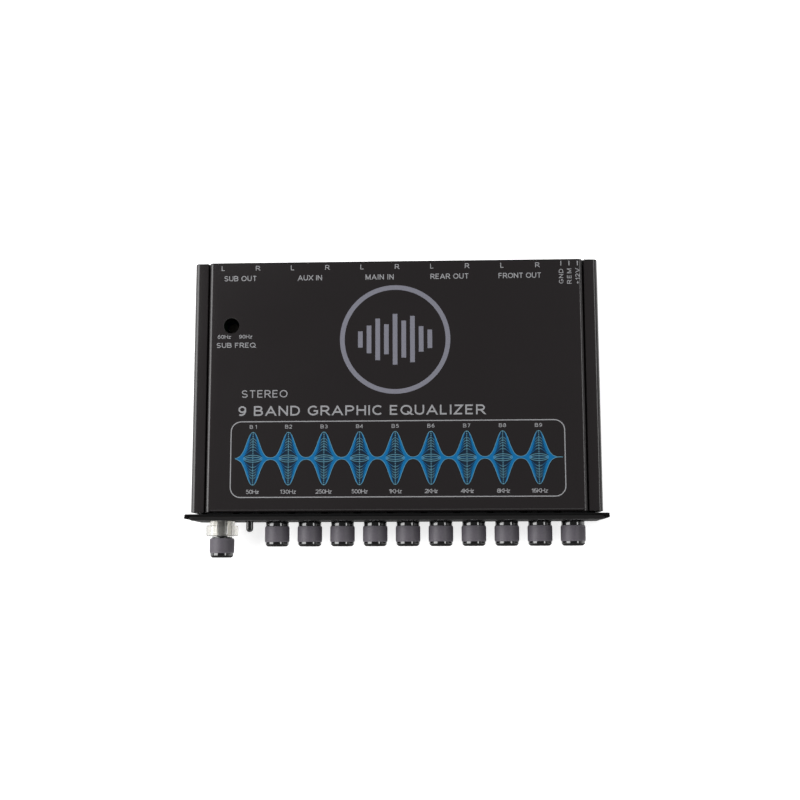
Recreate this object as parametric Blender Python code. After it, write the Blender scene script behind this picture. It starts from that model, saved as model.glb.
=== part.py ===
"""Graphic equalizer: a half-DIN car equalizer with nine bands, built as its separate pieces.

A folded sheet-metal tray is closed by a cover that slides in under its top flanges. The front
plate carries a row of rotary controls behind a gloss bezel, and the rear panel, set in under
the cover's overhang, carries five pairs of phono jacks and the power socket.

Frame: the knobs point to -Y, the jacks to +Y, up is +Z. The origin is on the underside, in
the middle of the footprint. Lengths are written in millimetres times MM, so all is in metres.
"""
import math

import bmesh
import bpy
from mathutils import Matrix, Vector

MM = 0.001

# Driving dimensions of the case
FLANGE_WIDTH = 178.0 * MM      # half-DIN front, over both ears
PANEL_HEIGHT = 25.0 * MM       # half-DIN height
CASE_WIDTH = 173.0 * MM        # outside the tray's walls
CASE_DEPTH = 108.1 * MM        # from the back of the front flange to the rear edge
COVER_WIDTH = 160.0 * MM       # raised field of the cover
COVER_STEP = 1.0 * MM          # the cover's field stands this high above the tray's flanges
KNOB_REACH = 18.0 * MM         # from the back of the flange to the tip of the longest knob
SHEET = 1.0 * MM               # steel sheet of tray, cover and rear panel
GAP = 0.3 * MM                 # air between pieces that touch or pass through each other
BEND = 1.5 * MM                # centre-line radius of a fold in the sheet

# The case's planes along Y
FLANGE_Y = (KNOB_REACH - CASE_DEPTH) / 2
REAR_EDGE_Y = FLANGE_Y + CASE_DEPTH
SHELL_FRONT_Y = FLANGE_Y + 0.8 * MM
RECESS_DEPTH = 9.5 * MM        # the rear panel lies this far inside the rear edge
REAR_PANEL_Y = REAR_EDGE_Y - RECESS_DEPTH

# Front
PLATE_THICKNESS = 0.9 * MM
BEZEL_WIDTH = 174.0 * MM
BEZEL_THICKNESS = 1.4 * MM
BEZEL_CORNER = 2.5 * MM
BEZEL_ROUNDING = 1.1 * MM
BEZEL_BACK_Y = FLANGE_Y - PLATE_THICKNESS - GAP
BEZEL_FRONT_Y = BEZEL_BACK_Y - BEZEL_THICKNESS
COVER_LIP_DEPTH = 5.0 * MM     # the cover's front lip hangs this far below its top

# Rotary controls
AXIS_Z = PANEL_HEIGHT / 2
CONTROL_PITCH = 14.0 * MM
FIRST_CONTROL_X = -51.15 * MM
VOLUME_X = -74.85 * MM
SMALL_CONTROLS = ["sub_level"] + [f"band_{number}" for number in range(1, 10)]
SHAFT_RADIUS = 2.2 * MM
BORE_RADIUS = SHAFT_RADIUS + GAP
BUSHING_RADIUS = 3.5 * MM
POT_WIDTH = 11.0 * MM
POT_HEIGHT = 12.4 * MM
POT_DEPTH = 9.0 * MM
POT_BORE_DEPTH = 6.0 * MM
GRIP_RADIUS = 5.15 * MM
CAP_RADIUS = 4.65 * MM
COLLAR_RADIUS = 4.9 * MM
KNOB_FACE_THICKNESS = 3.3 * MM # from a knob's tip to the bottom of its bore
CAP_CHAMFER = 0.7 * MM
SMALL_CAP_LENGTH = 1.8 * MM
VOLUME_CAP_LENGTH = 1.9 * MM
COLLAR_LENGTH = 2.2 * MM       # gloss collar between the bezel's face and the small knob's grip
VOLUME_NECK_RADIUS = 4.4 * MM  # short neck between the clear ring and the volume knob's grip
KNOB_LENGTH = 10.7 * MM        # small knob, from the bezel's face to its tip
VOLUME_KNOB_LENGTH = KNOB_REACH + BEZEL_FRONT_Y - FLANGE_Y

# Clear ring round the volume control
RING_NECK_RADIUS = 5.45 * MM
RING_RADIUS = 6.9 * MM
RING_BORE_RADIUS = 3.9 * MM
RING_NECK_LENGTH = 1.8 * MM
RING_LENGTH = 6.3 * MM         # from the bezel's face to the ring's front
RING_EDGE = 0.5 * MM
LAMP_SIZE = Vector((2.0, 0.8, 1.2)) * MM

# Input selector: a lever that slides up and down in a slot
SELECTOR_X = -63.3 * MM
LEVER_WIDTH = 3.1 * MM
LEVER_HEIGHT = 2.4 * MM
LEVER_REACH = 4.6 * MM         # beyond the bezel's face
LEVER_TRAVEL = 3.0 * MM
SWITCH_WIDTH = 7.0 * MM
SWITCH_DEPTH = 5.5 * MM
SWITCH_WALL = 1.2 * MM
SWITCH_POCKET_DEPTH = 4.0 * MM

# Board and what stands on it
BOARD_BOTTOM_Z = 4.4 * MM
BOARD_THICKNESS = 1.6 * MM
BOARD_TOP_Z = BOARD_BOTTOM_Z + BOARD_THICKNESS
BOARD_FLOOR_Z = BOARD_TOP_Z + GAP
BOARD_WIDTH = 166.0 * MM

# Rear jacks
JACK_PITCH = 15.0 * MM
FIRST_JACK_X = -74.1 * MM
JACK_PAIRS = ["sub_out", "aux_in", "main_in", "rear_out", "front_out"]
BARREL_RADIUS = 4.15 * MM
PIN_BORE_RADIUS = 1.7 * MM
JACK_BLOCK_WIDTH = 27.0 * MM
JACK_BLOCK_HEIGHT = 13.0 * MM
JACK_BLOCK_DEPTH = 11.0 * MM
PIN_BORE_DEPTH = 9.0 * MM
POWER_X = 74.4 * MM
POWER_SIZE = Vector((13.0, 18.0, 9.0)) * MM
POWER_CAVITY = Vector((10.8, 8.0, 6.8)) * MM
POWER_SETBACK = 3.5 * MM       # from the rear edge to the socket's mouth

# Crossover trimmer under its access hole in the cover
TRIMMER_X = -70.2 * MM
TRIMMER_Y = FLANGE_Y + 80.5 * MM
ACCESS_HOLE_RADIUS = 3.35 * MM
TRIMMER_SIZE = 6.6 * MM
TRIMMER_TOP_Z = 15.6 * MM
ROTOR_RADIUS = 2.4 * MM
ROTOR_TOP_Z = 17.0 * MM
ROTOR_EDGE = 0.3 * MM
ROTOR_SLOT_WIDTH = 0.9 * MM
ROTOR_SLOT_DEPTH = 0.9 * MM
WELL_DEPTH = 3.0 * MM

# Supply parts on the board, placed from the middle and from the flange
CAPACITOR_PLACE = Vector((66.0, 62.0)) * MM
CAPACITOR_RADIUS = 5.0 * MM
CAPACITOR_HEIGHT = 16.0 * MM
CHOKE_PLACE = Vector((66.0, 46.0)) * MM
CHOKE_RADIUS = 6.0 * MM
CHOKE_HEIGHT = 9.0 * MM
REGULATOR_PLACE = Vector((45.0, 62.0)) * MM
REGULATOR_SIZE = Vector((10.0, 4.5, 9.0)) * MM
REGULATOR_TAB_THICKNESS = 1.3 * MM
REGULATOR_TAB_TOP = 15.0 * MM

# Flat-head screws
SCREW_RADIUS = 1.5 * MM
SCREW_HEAD_RADIUS = 2.6 * MM
SCREW_HEAD_SINK = 0.05 * MM    # the head lies this far under the sheet's face
BASE_SCREWS_X = 60.0 * MM
BASE_SCREW_INSET = 6.0 * MM    # from the plate that the screw's foot belongs to
COVER_SCREWS_X = 58.15 * MM    # midway between two controls
COVER_SCREW_Z = 21.8 * MM
COVER_SCREW_LENGTH = 5.0 * MM

# Holes for side brackets, and stamped posts under the board
BRACKET_HOLES_Y = [30.0 * MM, 80.0 * MM]
BRACKET_HOLE_RADIUS = 2.1 * MM
POSTS_X = 77.0 * MM
POSTS_Y = [22.0 * MM, 66.0 * MM]
POST_RADIUS = 2.5 * MM

FOOT_LENGTH = 11.0 * MM        # how far the front plate's and rear panel's feet reach
CUTTER_REACH = 3.0 * MM        # how far a cutter runs past the sheet that it cuts

ROUND = 24                     # sides of a visible round piece
ROUND_SMALL = 16               # sides of a shaft, hole or screw


# ---------------------------------------------------------------- materials

def material(name, color, roughness, metallic=0.0, alpha=1.0):
    """One Principled material; the same name is made only once."""
    found = bpy.data.materials.get(name)
    if found:
        return found
    made = bpy.data.materials.new(name)
    made.use_nodes = True
    shader = made.node_tree.nodes["Principled BSDF"]
    shader.inputs["Base Color"].default_value = (*color, 1.0)
    shader.inputs["Roughness"].default_value = roughness
    shader.inputs["Metallic"].default_value = metallic
    shader.inputs["Alpha"].default_value = alpha
    return made


def case_paint():
    return material("case_paint", (0.036, 0.034, 0.035), 0.5)


def plate_paint():
    return material("plate_paint", (0.012, 0.012, 0.013), 0.4)


def gloss_black():
    return material("gloss_black", (0.008, 0.008, 0.009), 0.12)


def knob_plastic():
    return material("knob_plastic", (0.09, 0.085, 0.09), 0.55)


def clear_plastic():
    return material("clear_plastic", (0.85, 0.85, 0.83), 0.08, alpha=0.4)


def black_plastic():
    return material("black_plastic", (0.02, 0.02, 0.02), 0.4)


def plated_steel():
    return material("plated_steel", (0.62, 0.62, 0.6), 0.3, metallic=1.0)


def board_laminate():
    return material("board_laminate", (0.02, 0.11, 0.05), 0.45)


def trimmer_blue():
    return material("trimmer_blue", (0.03, 0.12, 0.35), 0.4)


def rotor_cream():
    return material("rotor_cream", (0.55, 0.52, 0.42), 0.5)


def lamp_resin():
    return material("lamp_resin", (0.25, 0.45, 0.9), 0.2)


def can_sleeve():
    return material("can_sleeve", (0.03, 0.04, 0.09), 0.35)


def choke_ferrite():
    return material("choke_ferrite", (0.05, 0.045, 0.045), 0.7)


# ---------------------------------------------------------------- shape helpers

def clear_scene():
    for item in list(bpy.data.objects):
        bpy.data.objects.remove(item, do_unlink=True)


def finish_object(name, mesh_data, location, surface=None, smooth=False):
    """Wrap a bmesh in an object, with its faces turned outwards."""
    bmesh.ops.recalc_face_normals(mesh_data, faces=mesh_data.faces)
    mesh = bpy.data.meshes.new(name)
    mesh_data.to_mesh(mesh)
    mesh_data.free()
    if smooth:
        mesh.shade_smooth()
        mesh.set_sharp_from_angle(angle=math.radians(35))
    if surface:
        mesh.materials.append(surface)
    made = bpy.data.objects.new(name, mesh)
    made.location = location
    bpy.context.scene.collection.objects.link(made)
    return made


def as_cutter(cutter):
    cutter.hide_render = True
    cutter.display_type = "WIRE"
    return cutter


def boolean(target, other, operation="DIFFERENCE"):
    """Cut the other object out of the target, or join it on; the other one is only a guide."""
    as_cutter(other)
    step = target.modifiers.new(f"{operation.lower()}_{other.name}", "BOOLEAN")
    step.operation = operation
    step.solver = "EXACT"
    step.object = other


def add_box(mesh_data, low, high):
    """Add one closed box between two opposite corners."""
    low, high = Vector(low), Vector(high)
    middle = (low + high) / 2
    scale = Matrix.Diagonal((*(high - low), 1.0))
    bmesh.ops.create_cube(mesh_data, size=1.0, matrix=Matrix.Translation(middle) @ scale)


def boxes(name, corners, surface=None, location=(0, 0, 0)):
    """One object of separate closed boxes, each given by its low and high corner."""
    mesh_data = bmesh.new()
    for low, high in corners:
        add_box(mesh_data, low, high)
    return finish_object(name, mesh_data, location, surface)


def add_turned(mesh_data, profile, centre=(0, 0, 0), sides=ROUND, axis="Y"):
    """Turn a profile of (along, radius) points about an axis through the centre.

    A profile that starts and ends on the axis makes a solid; any other one is closed on
    itself and makes a ring.
    """
    rings = []
    for along, radius in profile:
        count = sides if radius > 0 else 1
        ring = []
        for index in range(count):
            angle = math.tau * index / sides
            across, up = radius * math.cos(angle), radius * math.sin(angle)
            place = {"X": (along, across, up), "Y": (across, along, up), "Z": (across, up, along)}[axis]
            ring.append(mesh_data.verts.new(Vector(centre) + Vector(place)))
        rings.append(ring)
    pairs = list(zip(rings, rings[1:]))
    if len(rings[0]) > 1:
        pairs.append((rings[-1], rings[0]))
    for one, two in pairs:
        for index in range(sides):
            following = (index + 1) % sides
            if len(one) == 1:
                corners = (one[0], two[index], two[following])
            elif len(two) == 1:
                corners = (one[index], two[0], one[following])
            else:
                corners = (one[index], two[index], two[following], one[following])
            mesh_data.faces.new(corners)


def turned(name, profile, location, surface=None, sides=ROUND, axis="Y"):
    mesh_data = bmesh.new()
    add_turned(mesh_data, profile, sides=sides, axis=axis)
    return finish_object(name, mesh_data, location, surface, smooth=True)


def rods(name, centres, radius, low, high, axis="Y", sides=ROUND_SMALL):
    """Cutter of parallel round rods, each through one centre, between two heights."""
    mesh_data = bmesh.new()
    profile = [(low, 0), (low, radius), (high, radius), (high, 0)]
    for centre in centres:
        add_turned(mesh_data, profile, centre, sides, axis)
    return finish_object(name, mesh_data, (0, 0, 0))


def flat_head_profile(face, head_depth, length, room=0.0):
    """Profile of a flat-head screw that enters a sheet at this height; room widens it to a hole."""
    head, shank = SCREW_HEAD_RADIUS + room, SCREW_RADIUS + room
    start = face - SHEET if room else face + SCREW_HEAD_SINK
    profile = [(start, 0), (start, head)]
    if room:
        profile.append((face, head))
    return profile + [(face + head_depth, shank), (face + length, shank), (face + length, 0)]


def countersinks(name, centres, face, head_depth, length, axis):
    """Cutter of the holes that flat-head screws sit in."""
    mesh_data = bmesh.new()
    for centre in centres:
        profile = flat_head_profile(face, head_depth, length, room=GAP)
        add_turned(mesh_data, profile, centre, ROUND_SMALL, axis)
    return finish_object(name, mesh_data, (0, 0, 0))


def extruded(name, outline, axis, low, high, surface=None):
    """Push a closed outline along an axis; its two coordinates are the other two, in order."""
    place = {
        "X": lambda point, depth: (depth, point[0], point[1]),
        "Y": lambda point, depth: (point[0], depth, point[1]),
    }[axis]
    mesh_data = bmesh.new()
    start = [mesh_data.verts.new(place(point, low)) for point in outline]
    end = [mesh_data.verts.new(place(point, high)) for point in outline]
    mesh_data.faces.new(start)
    mesh_data.faces.new(list(reversed(end)))
    for index in range(len(outline)):
        following = (index + 1) % len(outline)
        mesh_data.faces.new((start[index], end[index], end[following], start[following]))
    return finish_object(name, mesh_data, (0, 0, 0), surface, smooth=True)


def folded_path(corners, radius=BEND, steps=4):
    """Points along a path whose right-angle corners are rounded to arcs."""
    corners = [Vector(corner) for corner in corners]
    points = [corners[0]]
    for before, corner, after in zip(corners, corners[1:], corners[2:]):
        incoming = (corner - before).normalized()
        outgoing = (after - corner).normalized()
        centre = corner + (outgoing - incoming) * radius
        for step in range(steps + 1):
            angle = math.pi / 2 * step / steps
            spoke = incoming * math.sin(angle) - outgoing * math.cos(angle)
            points.append(centre + radius * spoke)
    return points + [corners[-1]]


def sheet_outline(path, thickness=SHEET):
    """Closed outline of a sheet whose middle follows the path."""
    normals = []
    for one, two in zip(path, path[1:]):
        normals.append(Vector((one.y - two.y, two.x - one.x)).normalized())
    mitres = [normals[0]]
    for one, two in zip(normals, normals[1:]):
        mitres.append((one + two) / (1 + one.dot(two)))
    mitres.append(normals[-1])
    half = thickness / 2
    left = [point + mitre * half for point, mitre in zip(path, mitres)]
    right = [point - mitre * half for point, mitre in zip(path, mitres)]
    return left + list(reversed(right))


def rounded_rectangle(width, height, radius, steps=4):
    """Outline of an upright rectangle standing on zero, with round corners."""
    points = []
    for turn, (side, top) in enumerate([(1, 1), (-1, 1), (-1, 0), (1, 0)]):
        centre_x = side * (width / 2 - radius)
        centre_z = height - radius if top else radius
        for step in range(steps + 1):
            angle = math.pi / 2 * (turn + step / steps)
            points.append((centre_x + radius * math.cos(angle), centre_z + radius * math.sin(angle)))
    return points


# ---------------------------------------------------------------- positions that repeat

def small_control_x(index):
    return FIRST_CONTROL_X + CONTROL_PITCH * index


def control_places():
    """Name and X of each rotary control, the volume first."""
    places = [("volume", VOLUME_X)]
    places += [(name, small_control_x(index)) for index, name in enumerate(SMALL_CONTROLS)]
    return places


def jack_x(index):
    return FIRST_JACK_X + JACK_PITCH * index


def base_screw_places():
    front = FLANGE_Y + BASE_SCREW_INSET
    rear = REAR_PANEL_Y - BASE_SCREW_INSET
    places = {}
    for row, y in (("front", front), ("rear", rear)):
        places[f"base_screw_{row}_left"] = (-BASE_SCREWS_X, y)
        places[f"base_screw_{row}_right"] = (BASE_SCREWS_X, y)
    return places


def cover_screw_centres():
    return [(side * COVER_SCREWS_X, 0, COVER_SCREW_Z) for side in (-1, 1)]


def selector_slot():
    """Low and high Z of the room that the lever needs."""
    upper = AXIS_Z + (LEVER_TRAVEL + LEVER_HEIGHT) / 2 + GAP
    return PANEL_HEIGHT - upper, upper


# ---------------------------------------------------------------- case

def make_tray():
    """Floor, two walls and the two narrow flanges folded in over the cover's tongues."""
    wall = CASE_WIDTH / 2 - SHEET / 2
    flange_z = PANEL_HEIGHT - COVER_STEP - SHEET / 2
    flange_end = COVER_WIDTH / 2 + 0.7 * MM
    path = folded_path([
        (-flange_end, flange_z), (-wall, flange_z), (-wall, SHEET / 2),
        (wall, SHEET / 2), (wall, flange_z), (flange_end, flange_z),
    ])
    tray = extruded("bottom_tray", sheet_outline(path), "Y", SHELL_FRONT_Y, REAR_EDGE_Y, case_paint())
    posts = [(side * POSTS_X, FLANGE_Y + y, 0) for side in (-1, 1) for y in POSTS_Y]
    board_posts = rods("board_posts", posts, POST_RADIUS, SHEET / 2, BOARD_BOTTOM_Z - GAP, axis="Z")
    boolean(tray, board_posts, "UNION")
    centres = [(x, y, 0) for x, y in base_screw_places().values()]
    boolean(tray, countersinks("floor_holes", centres, 0, SHEET, 2 * SHEET, "Z"))
    brackets = [(0, FLANGE_Y + y, AXIS_Z) for y in BRACKET_HOLES_Y]
    boolean(tray, rods("bracket_holes", brackets, BRACKET_HOLE_RADIUS, -CASE_WIDTH, CASE_WIDTH, axis="X"))


def make_cover():
    """Raised field, stepped down at each side to a tongue under the tray's flange."""
    top_z = PANEL_HEIGHT - SHEET / 2
    side = COVER_WIDTH / 2 - SHEET / 2
    tongue_z = PANEL_HEIGHT - COVER_STEP - SHEET - GAP - SHEET / 2
    tongue_end = CASE_WIDTH / 2 - SHEET - BEND - GAP
    path = folded_path([
        (-tongue_end, tongue_z), (-side, tongue_z), (-side, top_z),
        (side, top_z), (side, tongue_z), (tongue_end, tongue_z),
    ], radius=0.8 * MM)
    cover = extruded("top_cover", sheet_outline(path), "Y", SHELL_FRONT_Y, REAR_EDGE_Y, case_paint())
    lip_half = COVER_WIDTH / 2 - 8 * MM
    lip = boxes("cover_lip", [(
        (-lip_half, SHELL_FRONT_Y, PANEL_HEIGHT - COVER_LIP_DEPTH),
        (lip_half, SHELL_FRONT_Y + SHEET, PANEL_HEIGHT - SHEET / 2),
    )])
    boolean(cover, lip, "UNION")
    hole = rods("access_hole", [(TRIMMER_X, TRIMMER_Y, 0)], ACCESS_HOLE_RADIUS,
                PANEL_HEIGHT - 2 * SHEET, PANEL_HEIGHT + SHEET, axis="Z", sides=ROUND)
    boolean(cover, hole)
    boolean(cover, rods("cover_lip_holes", cover_screw_centres(), SCREW_RADIUS + GAP,
                        SHELL_FRONT_Y - SHEET, SHELL_FRONT_Y + CUTTER_REACH))


def foot_holes(name, row):
    """Cutter of the holes where the base screws of one row pass through a folded foot."""
    centres = [(x, y, 0) for screw, (x, y) in base_screw_places().items() if row in screw]
    return rods(name, centres, SCREW_RADIUS + GAP, SHEET, SHEET + CUTTER_REACH, axis="Z")


def score_ears(face):
    """Divide the plate in line with the tray's walls, so that each ear is a flat of its own."""
    mesh_data = bmesh.new()
    mesh_data.from_mesh(face.data)
    for side in (-1, 1):
        geometry = mesh_data.verts[:] + mesh_data.edges[:] + mesh_data.faces[:]
        bmesh.ops.bisect_plane(mesh_data, geom=geometry, dist=MM / 1000,
                               plane_co=(side * (CASE_WIDTH / 2 + GAP), 0, 0), plane_no=(1, 0, 0))
    mesh_data.to_mesh(face.data)
    mesh_data.free()


def make_front_plate():
    """Steel plate behind the bezel: its ends are the mounting ears, its foot folds back."""
    foot_z = SHEET + GAP + PLATE_THICKNESS / 2
    middle_y = FLANGE_Y - PLATE_THICKNESS / 2
    upright = folded_path([
        (middle_y + FOOT_LENGTH, foot_z), (middle_y, foot_z), (middle_y, PANEL_HEIGHT - BEZEL_CORNER),
    ])
    inner = CASE_WIDTH / 2 - SHEET - BEND
    folded = sheet_outline(upright, PLATE_THICKNESS)
    plate = extruded("front_plate", folded, "X", -inner, inner, plate_paint())
    face = extruded("front_plate_face", rounded_rectangle(FLANGE_WIDTH, PANEL_HEIGHT, BEZEL_CORNER),
                    "Y", FLANGE_Y - PLATE_THICKNESS, FLANGE_Y)
    score_ears(face)
    boolean(plate, face, "UNION")
    front, back = FLANGE_Y - CUTTER_REACH, FLANGE_Y + CUTTER_REACH
    bushings = [(small_control_x(index), 0, AXIS_Z) for index in range(len(SMALL_CONTROLS))]
    boolean(plate, rods("bushing_holes", bushings, BUSHING_RADIUS + GAP, front, back))
    boolean(plate, rods("volume_hole", [(VOLUME_X, 0, AXIS_Z)], RING_NECK_RADIUS + GAP, front, back))
    low, high = selector_slot()
    half = LEVER_WIDTH / 2 + GAP
    slot = ((SELECTOR_X - half, front, low), (SELECTOR_X + half, back, high))
    boolean(plate, boxes("plate_slot", [slot]))
    boolean(plate, countersinks("plate_screw_holes", cover_screw_centres(), FLANGE_Y - PLATE_THICKNESS,
                                PLATE_THICKNESS, CUTTER_REACH, "Y"))
    boolean(plate, foot_holes("plate_foot_holes", "front"))


def make_bezel():
    """Gloss front with rounded edges, pierced for the shafts, the ring and the lever."""
    mesh_data = bmesh.new()
    outline = rounded_rectangle(BEZEL_WIDTH, PANEL_HEIGHT, BEZEL_CORNER)
    back = [mesh_data.verts.new((x, BEZEL_BACK_Y, z)) for x, z in outline]
    face = mesh_data.faces.new(back)
    grown = bmesh.ops.extrude_face_region(mesh_data, geom=[face])["geom"]
    front = [item for item in grown if isinstance(item, bmesh.types.BMVert)]
    bmesh.ops.translate(mesh_data, verts=front, vec=(0, -BEZEL_THICKNESS, 0))
    rim = [edge for edge in mesh_data.edges if all(vert in front for vert in edge.verts)]
    bmesh.ops.bevel(mesh_data, geom=rim, offset=BEZEL_ROUNDING, segments=3, profile=0.5,
                    affect="EDGES", clamp_overlap=True)
    bezel = finish_object("front_bezel", mesh_data, (0, 0, 0), gloss_black(), smooth=True)
    low, high = BEZEL_FRONT_Y - CUTTER_REACH, BEZEL_BACK_Y + CUTTER_REACH
    shafts = [(small_control_x(index), 0, AXIS_Z) for index in range(len(SMALL_CONTROLS))]
    boolean(bezel, rods("shaft_holes", shafts, BUSHING_RADIUS + 2 * GAP, low, high))
    boolean(bezel, rods("ring_hole", [(VOLUME_X, 0, AXIS_Z)], RING_NECK_RADIUS + GAP, low, high))
    bottom, top = selector_slot()
    half = LEVER_WIDTH / 2 + GAP
    slot = ((SELECTOR_X - half, low, bottom), (SELECTOR_X + half, high, top))
    boolean(bezel, boxes("bezel_slot", [slot]))


def make_rear_panel():
    """Upright panel with its foot folded forward and its top corners cut back for the cover."""
    foot_z = SHEET + GAP + SHEET / 2
    middle_y = REAR_PANEL_Y - SHEET / 2
    top = PANEL_HEIGHT - SHEET - GAP
    path = folded_path([(middle_y - FOOT_LENGTH, foot_z), (middle_y, foot_z), (middle_y, top)])
    half = CASE_WIDTH / 2 - SHEET - GAP
    panel = extruded("rear_panel", sheet_outline(path), "X", -half, half, case_paint())
    front, back = middle_y - CUTTER_REACH, middle_y + CUTTER_REACH
    shoulder = COVER_WIDTH / 2 - SHEET - GAP
    shoulder_z = PANEL_HEIGHT - COVER_STEP - 2 * SHEET - 2 * GAP
    corners = []
    for side in (-1, 1):
        across = sorted((side * shoulder, side * CASE_WIDTH))
        corners.append(((across[0], front, shoulder_z), (across[1], back, PANEL_HEIGHT)))
        foot = sorted((side * (half - BEND), side * CASE_WIDTH))
        foot_front = REAR_PANEL_Y - 2 * FOOT_LENGTH
        corners.append(((foot[0], foot_front, 0), (foot[1], back, SHEET + BEND + GAP)))
    boolean(panel, boxes("panel_corners", corners))
    barrels = [(jack_x(index), 0, AXIS_Z) for index in range(2 * len(JACK_PAIRS))]
    boolean(panel, rods("barrel_holes", barrels, BARREL_RADIUS + GAP, front, back))
    reach = Vector((POWER_SIZE.x / 2 + GAP, 0, 0))
    low = Vector((POWER_X, front, BOARD_FLOOR_Z - GAP)) - reach
    high = Vector((POWER_X, back, BOARD_FLOOR_Z + POWER_SIZE.z + GAP)) + reach
    boolean(panel, boxes("power_window", [(low, high)]))
    boolean(panel, foot_holes("panel_foot_holes", "rear"))


# ---------------------------------------------------------------- rotary controls

def knob_profile(length, back, cap_length, collar_radius, collar_end):
    """Profile of a knob, measured from the bezel's face; its tip is at minus length.

    back is where its rear face stands and collar_end is where its grip begins.
    """
    tip = -length
    bore_end = tip + KNOB_FACE_THICKNESS
    return [
        (tip, 0), (tip, CAP_RADIUS - CAP_CHAMFER), (tip + CAP_CHAMFER, CAP_RADIUS),
        (tip + cap_length, CAP_RADIUS), (tip + cap_length, GRIP_RADIUS),
        (collar_end, GRIP_RADIUS), (collar_end, collar_radius), (back, collar_radius),
        (back, BORE_RADIUS), (bore_end, BORE_RADIUS), (bore_end, 0),
    ]


def make_pot(name, x):
    """Potentiometer: a case on the board and a threaded bushing through the front plate."""
    front = FLANGE_Y + GAP
    bottom = AXIS_Z - POT_HEIGHT / 2
    low = Vector((x - POT_WIDTH / 2, front, bottom))
    pot = boxes(f"{name}_pot", [(low, low + Vector((POT_WIDTH, POT_DEPTH, POT_HEIGHT)))], black_plastic())
    nose = BEZEL_FRONT_Y + GAP
    centre = [(x, 0, AXIS_Z)]
    boolean(pot, rods(f"{name}_bushing", centre, BUSHING_RADIUS, nose, front + SHEET), "UNION")
    boolean(pot, rods(f"{name}_bore", centre, BORE_RADIUS, nose - SHEET, front + POT_BORE_DEPTH))


def make_shaft(name, x, knob_length):
    """Steel shaft from inside the pot to the bottom of the knob's bore."""
    origin = (x, BEZEL_FRONT_Y, AXIS_Z)
    inner = FLANGE_Y + POT_BORE_DEPTH - BEZEL_FRONT_Y
    outer = -knob_length + KNOB_FACE_THICKNESS + GAP
    profile = [(outer, 0), (outer, SHAFT_RADIUS), (inner, SHAFT_RADIUS), (inner, 0)]
    turned(f"{name}_shaft", profile, origin, plated_steel(), sides=ROUND_SMALL)


def make_controls():
    small = knob_profile(KNOB_LENGTH, -GAP, SMALL_CAP_LENGTH, COLLAR_RADIUS, -COLLAR_LENGTH)
    volume = knob_profile(VOLUME_KNOB_LENGTH, -RING_LENGTH - GAP, VOLUME_CAP_LENGTH,
                          VOLUME_NECK_RADIUS, -RING_LENGTH - 3 * GAP)
    for name, x in control_places():
        large = name == "volume"
        make_pot(name, x)
        make_shaft(name, x, VOLUME_KNOB_LENGTH if large else KNOB_LENGTH)
        turned(f"{name}_knob", volume if large else small, (x, BEZEL_FRONT_Y, AXIS_Z), knob_plastic())


def make_light_ring():
    """Clear collar: a neck through the bezel and a wider ring behind the volume knob."""
    back = BEZEL_BACK_Y - BEZEL_FRONT_Y
    profile = [
        (back, RING_BORE_RADIUS), (back, RING_NECK_RADIUS), (-RING_NECK_LENGTH, RING_NECK_RADIUS),
        (-RING_NECK_LENGTH - RING_EDGE, RING_RADIUS), (RING_EDGE - RING_LENGTH, RING_RADIUS),
        (-RING_LENGTH, RING_RADIUS - RING_EDGE), (-RING_LENGTH, RING_BORE_RADIUS),
    ]
    turned("volume_light_ring", profile, (VOLUME_X, BEZEL_FRONT_Y, AXIS_Z), clear_plastic())


def make_ring_lamp():
    """Lamp that lights the clear ring from behind, above the volume bushing."""
    low = Vector((VOLUME_X - LAMP_SIZE.x / 2, FLANGE_Y - LAMP_SIZE.y, AXIS_Z + BUSHING_RADIUS + GAP))
    boxes("ring_lamp", [(low, low + LAMP_SIZE)], lamp_resin())


# ---------------------------------------------------------------- input selector

def make_selector():
    """Slide switch behind the front plate, with a pocket for its lever."""
    low, high = selector_slot()
    front = FLANGE_Y + GAP
    body = boxes("selector_switch", [(
        (SELECTOR_X - SWITCH_WIDTH / 2, front, low - SWITCH_WALL),
        (SELECTOR_X + SWITCH_WIDTH / 2, front + SWITCH_DEPTH, high + SWITCH_WALL),
    )], plated_steel())
    half = LEVER_WIDTH / 2 + GAP
    pocket_end = front + SWITCH_POCKET_DEPTH
    pocket = ((SELECTOR_X - half, front - SHEET, low), (SELECTOR_X + half, pocket_end, high))
    boolean(body, boxes("selector_pocket", [pocket]))
    make_lever(pocket_end - GAP)


def make_lever(inner_y):
    """Lever with a round tip, stored at the lower end of its slot."""
    radius = LEVER_WIDTH / 2
    tip_centre_y = BEZEL_FRONT_Y - LEVER_REACH + radius
    outline = [(-radius, inner_y), (radius, inner_y)]
    steps = 8
    for step in range(steps + 1):
        angle = math.pi * step / steps
        outline.append((radius * math.cos(angle), tip_centre_y - radius * math.sin(angle)))
    mesh_data = bmesh.new()
    low = [mesh_data.verts.new((x, y, -LEVER_HEIGHT / 2)) for x, y in outline]
    face = mesh_data.faces.new(low)
    grown = bmesh.ops.extrude_face_region(mesh_data, geom=[face])["geom"]
    upper = [item for item in grown if isinstance(item, bmesh.types.BMVert)]
    bmesh.ops.translate(mesh_data, verts=upper, vec=(0, 0, LEVER_HEIGHT))
    place = (SELECTOR_X, 0, AXIS_Z - LEVER_TRAVEL / 2)
    finish_object("selector_lever", mesh_data, place, black_plastic(), smooth=True)


# ---------------------------------------------------------------- board and its parts

def make_board():
    half = BOARD_WIDTH / 2
    boxes("main_board", [(
        (-half, FLANGE_Y + 0.9 * MM, BOARD_BOTTOM_Z),
        (half, REAR_PANEL_Y - SHEET - GAP, BOARD_TOP_Z),
    )], board_laminate())


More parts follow.
